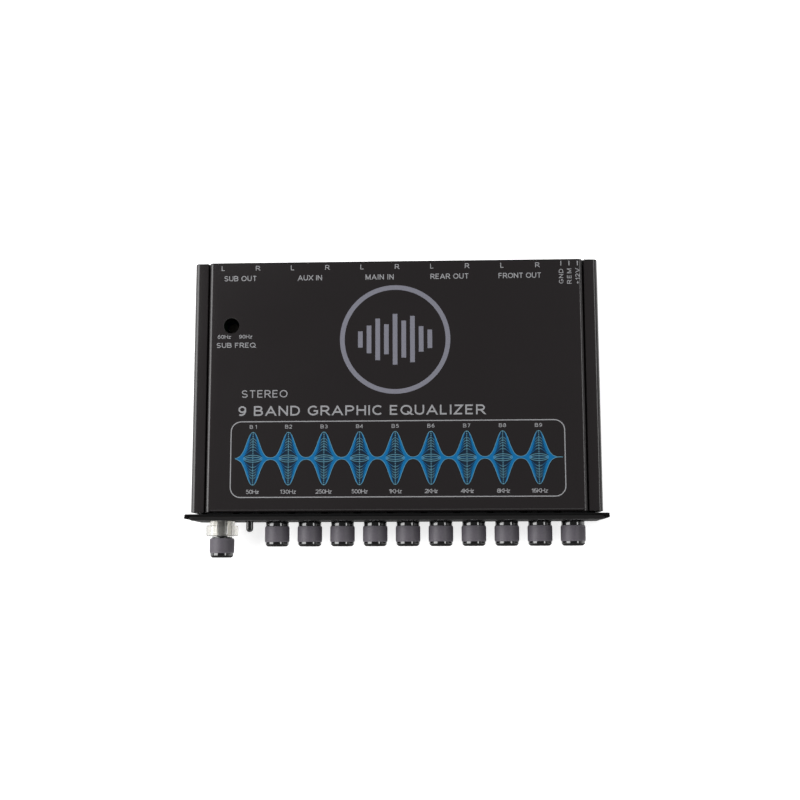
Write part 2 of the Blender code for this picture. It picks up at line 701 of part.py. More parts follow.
def make_trimmer():
    """Trimmer under the access hole: a square body and a slotted rotor that turns in it."""
    half = TRIMMER_SIZE / 2
    body = boxes("sub_freq_trimmer", [(
        (TRIMMER_X - half, TRIMMER_Y - half, BOARD_FLOOR_Z),
        (TRIMMER_X + half, TRIMMER_Y + half, TRIMMER_TOP_Z),
    )], trimmer_blue())
    well_z = TRIMMER_TOP_Z - WELL_DEPTH
    centre = [(TRIMMER_X, TRIMMER_Y, 0)]
    well = rods("trimmer_well", centre, ROTOR_RADIUS + GAP, well_z, TRIMMER_TOP_Z + SHEET, axis="Z")
    boolean(body, well)
    low = well_z + GAP
    profile = [
        (low, 0), (low, ROTOR_RADIUS), (ROTOR_TOP_Z - ROTOR_EDGE, ROTOR_RADIUS),
        (ROTOR_TOP_Z, ROTOR_RADIUS - ROTOR_EDGE), (ROTOR_TOP_Z, 0),
    ]
    place = (TRIMMER_X, TRIMMER_Y, 0)
    rotor = turned("sub_freq_rotor", profile, place, rotor_cream(), sides=ROUND, axis="Z")
    slot = boxes("rotor_slot", [(
        (TRIMMER_X - ROTOR_SLOT_WIDTH / 2, TRIMMER_Y - 2 * ROTOR_RADIUS, ROTOR_TOP_Z - ROTOR_SLOT_DEPTH),
        (TRIMMER_X + ROTOR_SLOT_WIDTH / 2, TRIMMER_Y + 2 * ROTOR_RADIUS, ROTOR_TOP_Z + SHEET),
    )])
    boolean(rotor, slot)


def on_board(place):
    """World point on the board's top for a place counted from the middle and the flange."""
    return Vector((place.x, FLANGE_Y + place.y, BOARD_FLOOR_Z))


def make_capacitor():
    """Can with a crimp groove near its foot and a rounded shoulder."""
    radius, height = CAPACITOR_RADIUS, CAPACITOR_HEIGHT
    groove_z, groove = 2.0 * MM, 0.4 * MM
    profile = [
        (0, 0), (0, radius), (groove_z - groove, radius), (groove_z, radius - groove),
        (groove_z + groove, radius), (height - groove, radius), (height, radius - groove), (height, 0),
    ]
    turned("filter_capacitor", profile, on_board(CAPACITOR_PLACE), can_sleeve(), axis="Z")


def make_choke():
    """Drum core with a narrower waist for its winding."""
    radius, height = CHOKE_RADIUS, CHOKE_HEIGHT
    waist, rim = radius - 1.6 * MM, 1.5 * MM
    profile = [
        (0, 0), (0, radius), (rim, radius), (rim, waist), (height - rim, waist),
        (height - rim, radius), (height, radius), (height, 0),
    ]
    turned("supply_choke", profile, on_board(CHOKE_PLACE), choke_ferrite(), axis="Z")


def make_regulator():
    """Voltage regulator: a moulded body with a drilled tab above it."""
    low = on_board(REGULATOR_PLACE)
    high = low + REGULATOR_SIZE
    regulator = boxes("voltage_regulator", [(low, high)], black_plastic())
    tab_low = Vector((low.x, high.y - REGULATOR_TAB_THICKNESS, high.z - SHEET))
    tab_high = Vector((high.x, high.y, low.z + REGULATOR_TAB_TOP))
    boolean(regulator, boxes("regulator_tab", [(tab_low, tab_high)]), "UNION")
    hole = [((low.x + high.x) / 2, 0, (high.z + tab_high.z) / 2)]
    boolean(regulator, rods("tab_hole", hole, SCREW_RADIUS + GAP, low.y, high.y + SHEET))


def make_jacks():
    """Each pair is one moulded block with two barrels that come out through the rear panel."""
    block_back = REAR_PANEL_Y - SHEET - GAP
    size = Vector((JACK_BLOCK_WIDTH, JACK_BLOCK_DEPTH, JACK_BLOCK_HEIGHT))
    for pair, name in enumerate(JACK_PAIRS):
        left, right = jack_x(2 * pair), jack_x(2 * pair + 1)
        middle = (left + right) / 2
        low = Vector((middle - size.x / 2, block_back - size.y, BOARD_FLOOR_Z))
        block = boxes(f"{name}_jacks", [(low, low + size)], black_plastic())
        centres = [(left, 0, AXIS_Z), (right, 0, AXIS_Z)]
        barrels = rods(f"{name}_barrels", centres, BARREL_RADIUS,
                       block_back - SHEET, REAR_EDGE_Y, sides=ROUND)
        boolean(block, barrels, "UNION")
        bores = rods(f"{name}_pin_bores", centres, PIN_BORE_RADIUS,
                     REAR_EDGE_Y - PIN_BORE_DEPTH, REAR_EDGE_Y + SHEET)
        boolean(block, bores)


def make_power_socket():
    """Shrouded three-way socket for ground, remote and supply."""
    back = REAR_EDGE_Y - POWER_SETBACK
    low = Vector((POWER_X - POWER_SIZE.x / 2, back - POWER_SIZE.y, BOARD_FLOOR_Z))
    socket = boxes("power_socket", [(low, low + POWER_SIZE)], black_plastic())
    middle_z = BOARD_FLOOR_Z + POWER_SIZE.z / 2
    reach = Vector((POWER_CAVITY.x / 2, 0, POWER_CAVITY.z / 2))
    cavity_low = Vector((POWER_X, back - POWER_CAVITY.y, middle_z)) - reach
    cavity_high = Vector((POWER_X, back + SHEET, middle_z)) + reach
    boolean(socket, boxes("socket_cavity", [(cavity_low, cavity_high)]))


# ---------------------------------------------------------------- screws

def make_screws():
    """Flat-head screws: four up through the floor, two back through the front plate."""
    base = flat_head_profile(0, SHEET, BOARD_BOTTOM_Z - GAP)
    for name, (x, y) in base_screw_places().items():
        turned(name, base, (x, y, 0), plated_steel(), sides=ROUND_SMALL, axis="Z")
    short = flat_head_profile(0, PLATE_THICKNESS, COVER_SCREW_LENGTH)
    for side, (x, _, z) in zip(("left", "right"), cover_screw_centres()):
        place = (x, FLANGE_Y - PLATE_THICKNESS, z)
        turned(f"cover_screw_{side}", short, place, plated_steel(), sides=ROUND_SMALL)


def main():
    clear_scene()
    make_tray()
    make_cover()
    make_front_plate()
    make_bezel()
    make_rear_panel()
    make_light_ring()
    make_ring_lamp()
    make_controls()
    make_selector()
    make_board()
    make_trimmer()
    make_capacitor()
    make_choke()
    make_regulator()
    make_jacks()
    make_power_socket()
    make_screws()


main()
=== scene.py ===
"""Looks of the half-DIN graphic equalizer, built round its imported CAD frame.

Every visible CAD node is replaced by a finer piece in the same place. Lengths are written in
millimetres times MM. Artwork on the cover is thin raised ink, laid out from the cover's rear
edge and middle line.
"""
import math

import bmesh
import bpy
from mathutils import Euler, Matrix, Vector


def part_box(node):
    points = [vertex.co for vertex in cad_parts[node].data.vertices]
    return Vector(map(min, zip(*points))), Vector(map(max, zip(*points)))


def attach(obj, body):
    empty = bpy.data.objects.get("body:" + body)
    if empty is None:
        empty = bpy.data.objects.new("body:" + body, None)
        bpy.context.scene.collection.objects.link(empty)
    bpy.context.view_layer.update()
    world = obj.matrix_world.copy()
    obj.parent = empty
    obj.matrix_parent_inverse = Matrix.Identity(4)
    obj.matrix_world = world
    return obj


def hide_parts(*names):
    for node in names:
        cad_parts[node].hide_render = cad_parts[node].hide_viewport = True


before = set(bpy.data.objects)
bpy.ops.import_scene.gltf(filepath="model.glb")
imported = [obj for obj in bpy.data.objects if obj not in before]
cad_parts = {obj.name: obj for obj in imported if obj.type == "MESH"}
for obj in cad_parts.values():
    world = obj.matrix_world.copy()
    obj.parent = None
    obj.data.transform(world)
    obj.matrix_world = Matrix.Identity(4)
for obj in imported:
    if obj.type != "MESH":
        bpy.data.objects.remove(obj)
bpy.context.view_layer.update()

MM = 0.001
ROOT = "chassis"
UP = Vector((0, 0, 1))

# Sheet metal
SHEET = 1.0 * MM
BEND = 1.5 * MM               # centre-line radius of the tray's folds
COVER_BEND = 1.1 * MM
SHEET_EDGE = 0.16 * MM        # softened cut edges
REAR_ROLL = 0.44 * MM         # the rear edges are rolled over more

# Print: a film of ink, each stroke a hair higher than the one before, so that none coincide
INK = 0.025 * MM
INK_SINK = 0.01 * MM
INK_STEP = 0.0012 * MM
INK_LAYERS = 16

CAP_FRONT = -0.35             # cap faces that look forward more than this are satin

SMALL_CONTROLS = ["sub_level"] + [f"band_{number}" for number in range(1, 10)]
JACK_PAIRS = ["sub_out", "aux_in", "main_in", "rear_out", "front_out"]
DIAL_LABELS = ["SUB", "50", "130", "250", "500", "1K", "2K", "4K", "8K", "16K"]
BAND_LABELS = ["50Hz", "130Hz", "250Hz", "500Hz", "1KHz", "2KHz", "4KHz", "8KHz", "16KHz"]


# ---------------------------------------------------------------- materials

def map_range(tree, value, source, target):
    """Node that maps the source range of a value to the target range."""
    node = tree.nodes.new("ShaderNodeMapRange")
    for name, number in zip(("From Min", "From Max", "To Min", "To Max"), (*source, *target)):
        node.inputs[name].default_value = number
    tree.links.new(value, node.inputs["Value"])
    return node.outputs["Result"]


class Surface:
    """A Principled material that is built up by adding noise, bump and variation."""

    def __init__(self, name, color, roughness, metallic=0.0):
        self.material = bpy.data.materials.new(name)
        self.material.use_nodes = True
        self.tree = self.material.node_tree
        self.shader = self.tree.nodes["Principled BSDF"]
        self.color = color
        self.place = self.node("TexCoord").outputs["Object"]
        self.set("Base Color", (*color, 1.0))
        self.set("Roughness", roughness)
        self.set("Metallic", metallic)

    def set(self, socket, value):
        self.shader.inputs[socket].default_value = value
        return self

    def node(self, kind, **values):
        """New node with the given values on its sockets."""
        made = self.tree.nodes.new(f"ShaderNode{kind}")
        for socket, value in values.items():
            made.inputs[socket].default_value = value
        return made

    def link(self, output, node, socket):
        self.tree.links.new(output, node.inputs[socket])

    def stretched(self, scale):
        mapping = self.node("Mapping", Scale=scale)
        self.link(self.place, mapping, "Vector")
        return mapping.outputs["Vector"]

    def noise(self, grain, detail=3.0, stretch=(1, 1, 1)):
        """Noise whose features are about one grain across, in metres."""
        texture = self.node("TexNoise", Scale=1.0 / grain, Detail=detail)
        self.link(self.stretched(stretch), texture, "Vector")
        return texture.outputs["Fac"]

    def between(self, factor, low, high):
        return map_range(self.tree, factor, (0.3, 0.7), (low, high))

    def blend(self, factor, one, two):
        """Base colour between two colours."""
        mix = self.tree.nodes.new("ShaderNodeMix")
        mix.data_type = "RGBA"
        mix.inputs["A"].default_value = (*one, 1)
        mix.inputs["B"].default_value = (*two, 1)
        self.link(self.between(factor, 0, 1), mix, "Factor")
        self.link(mix.outputs["Result"], self.shader, "Base Color")

    def vary_color(self, grain, low, high):
        """Blend the colour between two shades of itself, such as 0.9 and 1.1 times."""
        shades = [[min(part * share, 1) for part in self.color] for share in (low, high)]
        self.blend(self.noise(grain), *shades)

    def vary_roughness(self, grain, low, high, stretch=(1, 1, 1)):
        factor = self.noise(grain, stretch=stretch)
        self.link(self.between(factor, low, high), self.shader, "Roughness")

    def add_bump(self, grain, depth, detail=3.0):
        bump = self.node("Bump", Strength=1.0, Distance=depth)
        self.link(self.noise(grain, detail), bump, "Height")
        self.link(bump.outputs["Normal"], self.shader, "Normal")


def powder_coat(name, color, roughness, shine=0.5):
    """Fine-grained satin powder coat: orange peel, tiny speckle and slow colour drift."""
    surface = Surface(name, color, roughness)
    surface.vary_color(0.5 * MM, 0.93, 1.07)
    surface.vary_roughness(25 * MM, roughness - 0.012, roughness + 0.012)
    surface.add_bump(0.5 * MM, 0.004 * MM, detail=1)
    return surface.set("Specular IOR Level", shine).material


def moulded(name, color, roughness, grain=0.35 * MM, depth=0.006 * MM):
    """Injection-moulded plastic with a faint spark-eroded grain."""
    surface = Surface(name, color, roughness)
    surface.vary_color(2.5 * MM, 0.92, 1.08)
    surface.vary_roughness(1.6 * MM, roughness - 0.05, roughness + 0.07)
    surface.add_bump(grain, depth)
    return surface.material


def polished(name, color, roughness, shine=0.5):
    """Gloss plastic with fine handling marks that only show in its reflections."""
    surface = Surface(name, color, roughness)
    surface.vary_color(5 * MM, 0.9, 1.1)
    surface.vary_roughness(2.2 * MM, roughness * 0.75, roughness * 1.4, stretch=(1, 3, 1))
    surface.add_bump(9 * MM, 0.012 * MM, detail=1)
    return surface.set("Specular IOR Level", shine).material


def metal(name, color, roughness):
    """Plated metal with slightly uneven gloss."""
    surface = Surface(name, color, roughness, metallic=1.0)
    surface.vary_color(1.5 * MM, 0.94, 1.05)
    surface.vary_roughness(0.8 * MM, roughness * 0.8, roughness * 1.25)
    surface.add_bump(0.25 * MM, 0.0012 * MM)
    return surface.material


def ink(name, color):
    """Screen-printed ink: opaque, a little uneven where it took less well."""
    surface = Surface(name, color, 0.55)
    surface.vary_color(0.5 * MM, 0.86, 1.08)
    surface.vary_roughness(0.7 * MM, 0.48, 0.65)
    surface.add_bump(0.12 * MM, 0.003 * MM)
    return surface.set("Specular IOR Level", 0.15).material


def knurled():
    """Soft-touch grip: matte grey, a little paler and duller here and there from handling."""
    surface = Surface("knurled_grip", (0.094, 0.086, 0.1), 0.5)
    surface.vary_color(0.8 * MM, 0.92, 1.08)
    surface.vary_roughness(0.5 * MM, 0.42, 0.58)
    surface.add_bump(0.1 * MM, 0.004 * MM)
    return surface.set("Specular IOR Level", 0.3).material


def clear_acrylic():
    surface = Surface("clear_acrylic", (0.74, 0.73, 0.69), 0.06)
    surface.vary_roughness(1.5 * MM, 0.03, 0.14)
    surface.add_bump(3 * MM, 0.02 * MM, detail=1)
    return surface.set("Transmission Weight", 0.9).set("IOR", 1.49).material


def circuit_board():
    """Dark green solder mask over faint copper tracks that run fore and aft."""
    surface = Surface("solder_mask", (0.006, 0.02, 0.012), 0.35)
    tracks = surface.node("TexVoronoi", Scale=1 / (2.4 * MM))
    tracks.distance = "CHEBYCHEV"
    surface.link(surface.stretched((1, 0.25, 1)), tracks, "Vector")
    surface.blend(tracks.outputs["Distance"], (0.006, 0.026, 0.014), (0.003, 0.01, 0.006))
    surface.add_bump(0.6 * MM, 0.01 * MM)
    return surface.set("Coat Weight", 0.4).material


PAINT = powder_coat("case_powder_coat", (0.0125, 0.0106, 0.011), 0.23, shine=0.45)
# This matt black also lays painted shade along the rolled rear edges of tray and cover.
PLATE_PAINT = powder_coat("plate_powder_coat", (0.0045, 0.0045, 0.0046), 0.85, shine=0.05)
SATIN = powder_coat("satin_black", (0.0085, 0.008, 0.008), 0.75, shine=0.12)
GLOSS = polished("gloss_black", (0.003, 0.003, 0.0032), 0.1, shine=1.0)
GRIP = knurled()
ACRYLIC = clear_acrylic()
BLACK = moulded("black_plastic", (0.009, 0.009, 0.0095), 0.36)
WHITE = moulded("white_insulator", (0.7, 0.69, 0.65), 0.35)
RED = moulded("red_insulator", (0.45, 0.018, 0.016), 0.35)
# Painted shade: the trimmer's body and rotor are darkened past their own colours so that the inside of the
# cover's hole looks dark.
BLUE = moulded("trimmer_blue", (0.006, 0.014, 0.045), 0.4)
SHADED_CREAM = moulded("rotor_cream", (0.09, 0.08, 0.06), 0.5)
FERRITE = moulded("ferrite", (0.035, 0.032, 0.032), 0.75, grain=0.2 * MM, depth=0.02 * MM)
SLEEVE = moulded("capacitor_sleeve", (0.015, 0.02, 0.05), 0.3)
LAMP = moulded("lamp_resin", (0.16, 0.34, 0.85), 0.22)
NICKEL = metal("nickel_plate", (0.62, 0.6, 0.56), 0.2)
GOLD = metal("gold_contact", (0.83, 0.6, 0.26), 0.24)
STEEL = metal("zinc_steel", (0.5, 0.5, 0.48), 0.32)
DARK_STEEL = metal("blackened_steel", (0.055, 0.055, 0.058), 0.4)
BOARD = circuit_board()
PRINT = ink("grey_ink", (0.245, 0.245, 0.255))
EMBLEM_INK = ink("emblem_ink", (0.155, 0.155, 0.185))
BLUE_INK = ink("blue_ink", (0.0, 0.105, 0.27))
PALE_BLUE_INK = ink("pale_blue_ink", (0.085, 0.225, 0.3))
DEEP_BLUE_INK = ink("deep_blue_ink", (0.003, 0.011, 0.024))


# ---------------------------------------------------------------- mesh helpers

def link(name, mesh):
    made = bpy.data.objects.new(name, mesh)
    bpy.context.scene.collection.objects.link(made)
    return made


def finished(name, shape, material, sharp=32):
    """Turn a bmesh into an object, shaded smooth but for edges over the sharp angle."""
    bmesh.ops.recalc_face_normals(shape, faces=shape.faces)
    mesh = bpy.data.meshes.new(name)
    shape.to_mesh(mesh)
    shape.free()
    mesh.materials.append(material)
    mesh.shade_smooth()
    mesh.set_sharp_from_angle(angle=math.radians(sharp))
    return link(name, mesh)


def mount(piece, nodes=(), body=ROOT):
    """Let a piece ride on a body and stand for CAD nodes."""
    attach(piece, body)
    if nodes:
        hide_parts(*nodes)
    return piece


def bridge(shape, rings, endless=False):
    """Join rings of equally many points with quads; cap both ends unless they meet."""
    made = [[shape.verts.new(point) for point in ring] for ring in rings]
    pairs = list(zip(made, made[1:]))
    if endless:
        pairs.append((made[-1], made[0]))
    for one, two in pairs:
        for index in range(len(one)):
            following = (index + 1) % len(one)
            shape.faces.new((one[index], two[index], two[following], one[following]))
    if not endless:
        shape.faces.new(list(reversed(made[0])))
        shape.faces.new(made[-1])


def softened(points, closed=False, steps=4):
    """Round the corners of a path of (a, b, cut) points; cut is how far each is trimmed."""
    count = len(points)
    result = []
    for index, (a, b, *rest) in enumerate(points):
        corner = Vector((a, b))
        cut = rest[0] if rest else 0.0
        inside = closed or 0 < index < count - 1
        if not cut or not inside:
            result.append(corner)
            continue
        before = Vector(points[index - 1][:2])
        after = Vector(points[(index + 1) % count][:2])
        start = corner + (before - corner).normalized() * cut
        end = corner + (after - corner).normalized() * cut
        for step in range(steps + 1):
            t = step / steps
            result.append(start * (1 - t) ** 2 + corner * 2 * t * (1 - t) + end * t * t)
    return result


def spun(shape, profile, centre, axis="Y", sides=48):
    """Turn a profile of (along, radius) points; one that ends off the axis closes on itself."""
    rings = []
    for along, radius in profile:
        ring = []
        for index in range(sides if radius > 1e-7 else 1):
            angle = math.tau * index / sides
            a, b = radius * math.cos(angle), radius * math.sin(angle)
            offset = {"X": (along, a, b), "Y": (a, along, b), "Z": (a, b, along)}[axis]
            ring.append(shape.verts.new(Vector(centre) + Vector(offset)))
        rings.append(ring)
    pairs = list(zip(rings, rings[1:]))
    if len(rings[0]) > 1 and len(rings[-1]) > 1:
        pairs.append((rings[-1], rings[0]))
    for one, two in pairs:
        for index in range(sides):
            following = (index + 1) % sides
            if len(one) == 1:
                shape.faces.new((one[0], two[index], two[following]))
            elif len(two) == 1:
                shape.faces.new((one[index], two[0], one[following]))
            else:
                shape.faces.new((one[index], two[index], two[following], one[following]))


def lathe(name, points, centre, material, axis="Y", sides=48, steps=4):
    """A turned piece from a profile of (along, radius, cut) points."""
    shape = bmesh.new()
    on_axis = points[0][1] == 0 or points[-1][1] == 0
    spun(shape, softened(points, closed=not on_axis, steps=steps), centre, axis, sides)
    return finished(name, shape, material)


def soft_box(shape, low, high, edge=0.2 * MM, segments=2):
    """Add a closed box with bevelled edges."""
    low, high = Vector(low), Vector(high)
    scale = Matrix.Diagonal((*(high - low), 1))
    made = bmesh.ops.create_cube(shape, size=1, matrix=Matrix.Translation((low + high) / 2) @ scale)
    edges = list({item for vert in made["verts"] for item in vert.link_edges})
    if edge:
        bmesh.ops.bevel(shape, geom=edges, offset=edge, segments=segments, profile=0.5, affect="EDGES")


def block(name, low, high, material, edge=0.2 * MM):
    shape = bmesh.new()
    soft_box(shape, low, high, edge)
    return finished(name, shape, material)


def cutter(low, high, edge=0):
    return block("cutter", low, high, BLACK, edge)


def carve(target, cutter, operation="DIFFERENCE"):
    """Apply a Boolean of another object, which is then removed."""
    step = target.modifiers.new("carve", "BOOLEAN")
    step.operation = operation
    step.object = cutter
    step.solver = "EXACT"
    bpy.context.view_layer.update()
    graph = bpy.context.evaluated_depsgraph_get()
    mesh = bpy.data.meshes.new_from_object(target.evaluated_get(graph))
    target.modifiers.remove(step)
    target.data = mesh
    mesh.shade_smooth()
    mesh.set_sharp_from_angle(angle=math.radians(32))
    bpy.data.objects.remove(cutter, do_unlink=True)
    return target


def drills(profile, centres, axis, sides=48):
    """Cutter of equal turned holes, one at each centre."""
    shape = bmesh.new()
    for centre in centres:
        spun(shape, profile, centre, axis, sides)
    return finished("drills", shape, BLACK)


def plain_hole(reach, radius):
    """Profile of a straight hole that goes this far either way."""
    return [(-reach, 0), (-reach, radius), (reach, radius), (reach, 0)]


def flared_hole(reach, radius):
    """Profile of a hole with a narrow 45 degree flare at its face."""
    return [(-reach, 0), (-reach, radius + reach), (0.15 * MM, radius), (reach, radius), (reach, 0)]


def joined(name, parts):
    """Join objects of one material into one piece."""
    shape = bmesh.new()
    for part in parts:
        part.data.transform(part.matrix_world)
        shape.from_mesh(part.data)
    material = parts[0].data.materials[0]
    for part in parts:
        bpy.data.objects.remove(part, do_unlink=True)
    mesh = bpy.data.meshes.new(name)
    shape.to_mesh(mesh)
    shape.free()
    mesh.materials.append(material)
    return link(name, mesh)


def folded_path(corners, radius, steps=8):
    """Points along a path whose right-angle corners are rounded to arcs."""
    corners = [Vector(corner) for corner in corners]
    points = [corners[0]]
    for before, corner, after in zip(corners, corners[1:], corners[2:]):
        incoming = (corner - before).normalized()
        outgoing = (after - corner).normalized()
        centre = corner + (outgoing - incoming) * radius
        for step in range(steps + 1):
            angle = math.pi / 2 * step / steps
            spoke = incoming * math.sin(angle) - outgoing * math.cos(angle)
            points.append(centre + radius * spoke)
    return points + [corners[-1]]


def sheet_ring(path, half, inset, edge):
    """Outline of a sheet along the path, pulled in by inset, with softened ends."""
    tangents = [(two - one).normalized() for one, two in zip(path, path[1:])]
    normals = [Vector((-tangent.y, tangent.x)) for tangent in tangents]
    mitres = [normals[0]]
    for one, two in zip(normals, normals[1:]):
        mitres.append((one + two) / (1 + one.dot(two)))
    mitres.append(normals[-1])
    start, end = path[0] + tangents[0] * inset, path[-1] - tangents[-1] * inset
    middle = list(zip(path[1:-1], mitres[1:-1]))
    wide, narrow = half - inset, half - edge

    def side(sign):
        points = [start + normals[0] * narrow * sign]
        points.append(start + tangents[0] * edge + normals[0] * wide * sign)
        points += [point + mitre * wide * sign for point, mitre in middle]
        points.append(end - tangents[-1] * edge + normals[-1] * wide * sign)
        points.append(end + normals[-1] * narrow * sign)
        return points

    return side(1) + list(reversed(side(-1)))


def soft_levels(low, high, edges, steps):
    """Depths and insets of the sections that round both ends of a slab, each by its edge."""
    levels = []
    for start, sign, edge in ((low, 1, edges[0]), (high, -1, edges[1])):
        group = []
        for step in range(steps + 1):
            angle = math.pi / 2 * step / steps
            depth = start + sign * edge * (1 - math.cos(angle))
            group.append((depth, edge * (1 - math.sin(angle))))
        levels += group[::sign]
    return levels


def bent_sheet(name, path, low, high, material, axis="Y", thickness=SHEET, edges=(SHEET_EDGE, SHEET_EDGE)):
    """Folded sheet pushed along X or Y, with each cut end rounded by its own edge."""
    shape = bmesh.new()
    half = thickness / 2
    rings = []
    for depth, inset in soft_levels(low, high, edges, steps=4):
        outline = sheet_ring(path, half, inset, SHEET_EDGE)
        if axis == "Y":
            rings.append([(a, depth, b) for a, b in outline])
        else:
            rings.append([(depth, a, b) for a, b in outline])
    bridge(shape, rings)
    return finished(name, shape, material)


def rounded_rectangle(width, height, radius, steps=8):
    """Outline of an upright rectangle standing on zero, with round corners."""
    points = []
    for turn, (side, top) in enumerate([(1, 1), (-1, 1), (-1, 0), (1, 0)]):
        centre_x = side * (width / 2 - radius)
        centre_z = height - radius if top else radius
        for step in range(steps + 1):
            angle = math.pi / 2 * (turn + step / steps)
            points.append(Vector((centre_x + radius * math.cos(angle), centre_z + radius * math.sin(angle))))
    return points


# ---------------------------------------------------------------- measures of the frame

def middle(node):
    low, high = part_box(node)
    return (low + high) / 2


TRAY_LOW, TRAY_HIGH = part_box("bottom_tray")
COVER_LOW, COVER_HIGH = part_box("top_cover")
PLATE_LOW, PLATE_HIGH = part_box("front_plate")
BEZEL_LOW, BEZEL_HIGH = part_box("front_bezel")
PANEL_LOW, PANEL_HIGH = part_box("rear_panel")
PANEL_FACE_Y = PANEL_HIGH.y
REAR_Y = COVER_HIGH.y
TOP_Z = COVER_HIGH.z
AXIS_Z = middle("band_1_knob").z
FIELD_HALF = 80.0 * MM        # half the width of the cover's raised field
CONTROLS = ["volume"] + SMALL_CONTROLS
CONTROL_X = {name: middle(f"{name}_knob").x for name in CONTROLS}
JACK_HALF_PITCH = 7.5 * MM
BARREL_X = [middle(f"{pair}_jacks").x + side * JACK_HALF_PITCH for pair in JACK_PAIRS for side in (-1, 1)]


# ---------------------------------------------------------------- case

def repaint(piece, material, chosen):
    """Give a piece's chosen faces a second material."""
    piece.data.materials.append(material)
    for face in piece.data.polygons:
        if chosen(face):
            face.material_index = 1


def paint_rear_edge_shade(sheet, rear):
    """Painted shade: the faces along the rolled rear edge get the matt black plate paint, a dark line
    standing in for the shade there.
    """
    repaint(sheet, PLATE_PAINT, lambda face: face.center.y > rear - REAR_ROLL)


def make_tray():
    """Tray with its walls and inward flanges, bracket holes and countersunk screw holes."""
    wall = TRAY_HIGH.x - SHEET / 2
    flange_z = TRAY_HIGH.z - SHEET / 2
    flange_end = FIELD_HALF + 0.7 * MM
    path = folded_path([
        (-flange_end, flange_z), (-wall, flange_z), (-wall, SHEET / 2),
        (wall, SHEET / 2), (wall, flange_z), (flange_end, flange_z),
    ], BEND)
    tray = bent_sheet("tray", path, TRAY_LOW.y, TRAY_HIGH.y, PAINT, edges=(SHEET_EDGE, REAR_ROLL))
    brackets = [(0, PLATE_LOW.y + 0.9 * MM + y * MM, AXIS_Z) for y in (30, 80)]
    span = TRAY_HIGH.x + SHEET
    carve(tray, drills(plain_hole(span, 2.1 * MM), brackets, "X"))
    throat, mouth = 1.8 * MM, 2.9 * MM
    sink = [(-SHEET, 0), (-SHEET, mouth), (0, mouth), (SHEET, throat), (2 * SHEET, throat), (2 * SHEET, 0)]
    screws = [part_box(f"base_screw_{row}_{side}") for row in ("front", "rear") for side in ("left", "right")]
    centres = [((low.x + high.x) / 2, (low.y + high.y) / 2, 0) for low, high in screws]
    carve(tray, drills(sink, centres, "Z"))
    # painted shade: matt black along the tray's rolled rear edge
    paint_rear_edge_shade(tray, TRAY_HIGH.y)
    mount(tray, ["bottom_tray"])


def make_cover():
    """Raised field with stepped sides, a front edge folded down and the trimmer's hole."""
    top = TOP_Z - SHEET / 2
    side = FIELD_HALF - SHEET / 2
    tongue_z = TRAY_HIGH.z - SHEET - 0.3 * MM - SHEET / 2
    path = folded_path([
        (-COVER_HIGH.x, tongue_z), (-side, tongue_z), (-side, top),
        (side, top), (side, tongue_z), (COVER_HIGH.x, tongue_z),
    ], COVER_BEND)
    cover = bent_sheet("cover", path, COVER_LOW.y, COVER_HIGH.y, PAINT, edges=(SHEET_EDGE, REAR_ROLL))
    fold_half = FIELD_HALF - SHEET / 2 - COVER_BEND - 0.2 * MM
    fold_end = COVER_LOW.y + 3 * MM
    notch_low = (-fold_half, COVER_LOW.y - SHEET, top - SHEET)
    carve(cover, cutter(notch_low, (fold_half, fold_end, top + SHEET)))
    front = COVER_LOW.y + SHEET / 2
    lip_path = folded_path([(fold_end + 0.5 * MM, top), (front, top), (front, COVER_LOW.z)], COVER_BEND)
    lip = bent_sheet("lip", lip_path, -fold_half, fold_half, PAINT, axis="X", edges=(0, 0))
    carve(cover, lip, "UNION")
    trimmer = middle("sub_freq_rotor")
    radius, chamfer, under = 3.35 * MM, 0.22 * MM, -3 * SHEET
    profile = [
        (under, 0), (under, radius), (-chamfer, radius), (chamfer, radius + 2 * chamfer), (chamfer, 0),
    ]
    carve(cover, drills(profile, [(trimmer.x, trimmer.y, TOP_Z)], "Z", sides=64))
    # painted shade: matt black along the cover's rolled rear edge
    paint_rear_edge_shade(cover, COVER_HIGH.y)
    mount(cover, ["top_cover"])


def make_plate():
    """Front plate: rounded ears at both ends, pierced for the controls, with its foot."""
    plate_sheet = 0.9 * MM
    back = PLATE_LOW.y + plate_sheet
    outline = rounded_rectangle(PLATE_HIGH.x * 2, PLATE_HIGH.z, 1.6 * MM)
    edge = 0.2 * MM
    plate = rimmed_slab("face_plate", outline, PLATE_LOW.y, back, edge, edge, PLATE_PAINT)
    pierce(plate, PLATE_LOW.y, plain_hole, 3.8 * MM, 5.75 * MM, sides=48)
    mount(plate, ["front_plate"])
    for side, name in ((-1, "left"), (1, "right")):
        across = sorted((side * (BEZEL_HIGH.x + 0.15 * MM), side * PLATE_HIGH.x))
        hem = block(f"{name}_ear_hem", (across[0], PLATE_LOW.y - 1.0 * MM, 0.6 * MM),
                    (across[1], PLATE_LOW.y + 0.1 * MM, PLATE_HIGH.z - 0.6 * MM), PLATE_PAINT, edge=0.3 * MM)
        mount(hem)
    foot_z = 1.75 * MM
    path = folded_path([(PLATE_HIGH.y, foot_z), (back + 0.6 * MM, foot_z), (back + 0.6 * MM, 6 * MM)], BEND)
    half = 83.5 * MM
    foot = bent_sheet("face_plate_foot", path, -half, half, PLATE_PAINT, axis="X", thickness=plate_sheet)
    mount(foot)


def pierce(sheet, face_y, hole, small, large, sides):
    """Cut a hole of the given profile for every control, and the lever's slot."""
    for names, radius in ((SMALL_CONTROLS, small), (["volume"], large)):
        centres = [(CONTROL_X[name], face_y, AXIS_Z) for name in names]
        carve(sheet, drills(hole(3 * MM, radius), centres, "Y", sides))
    carve(sheet, lever_slot(face_y))


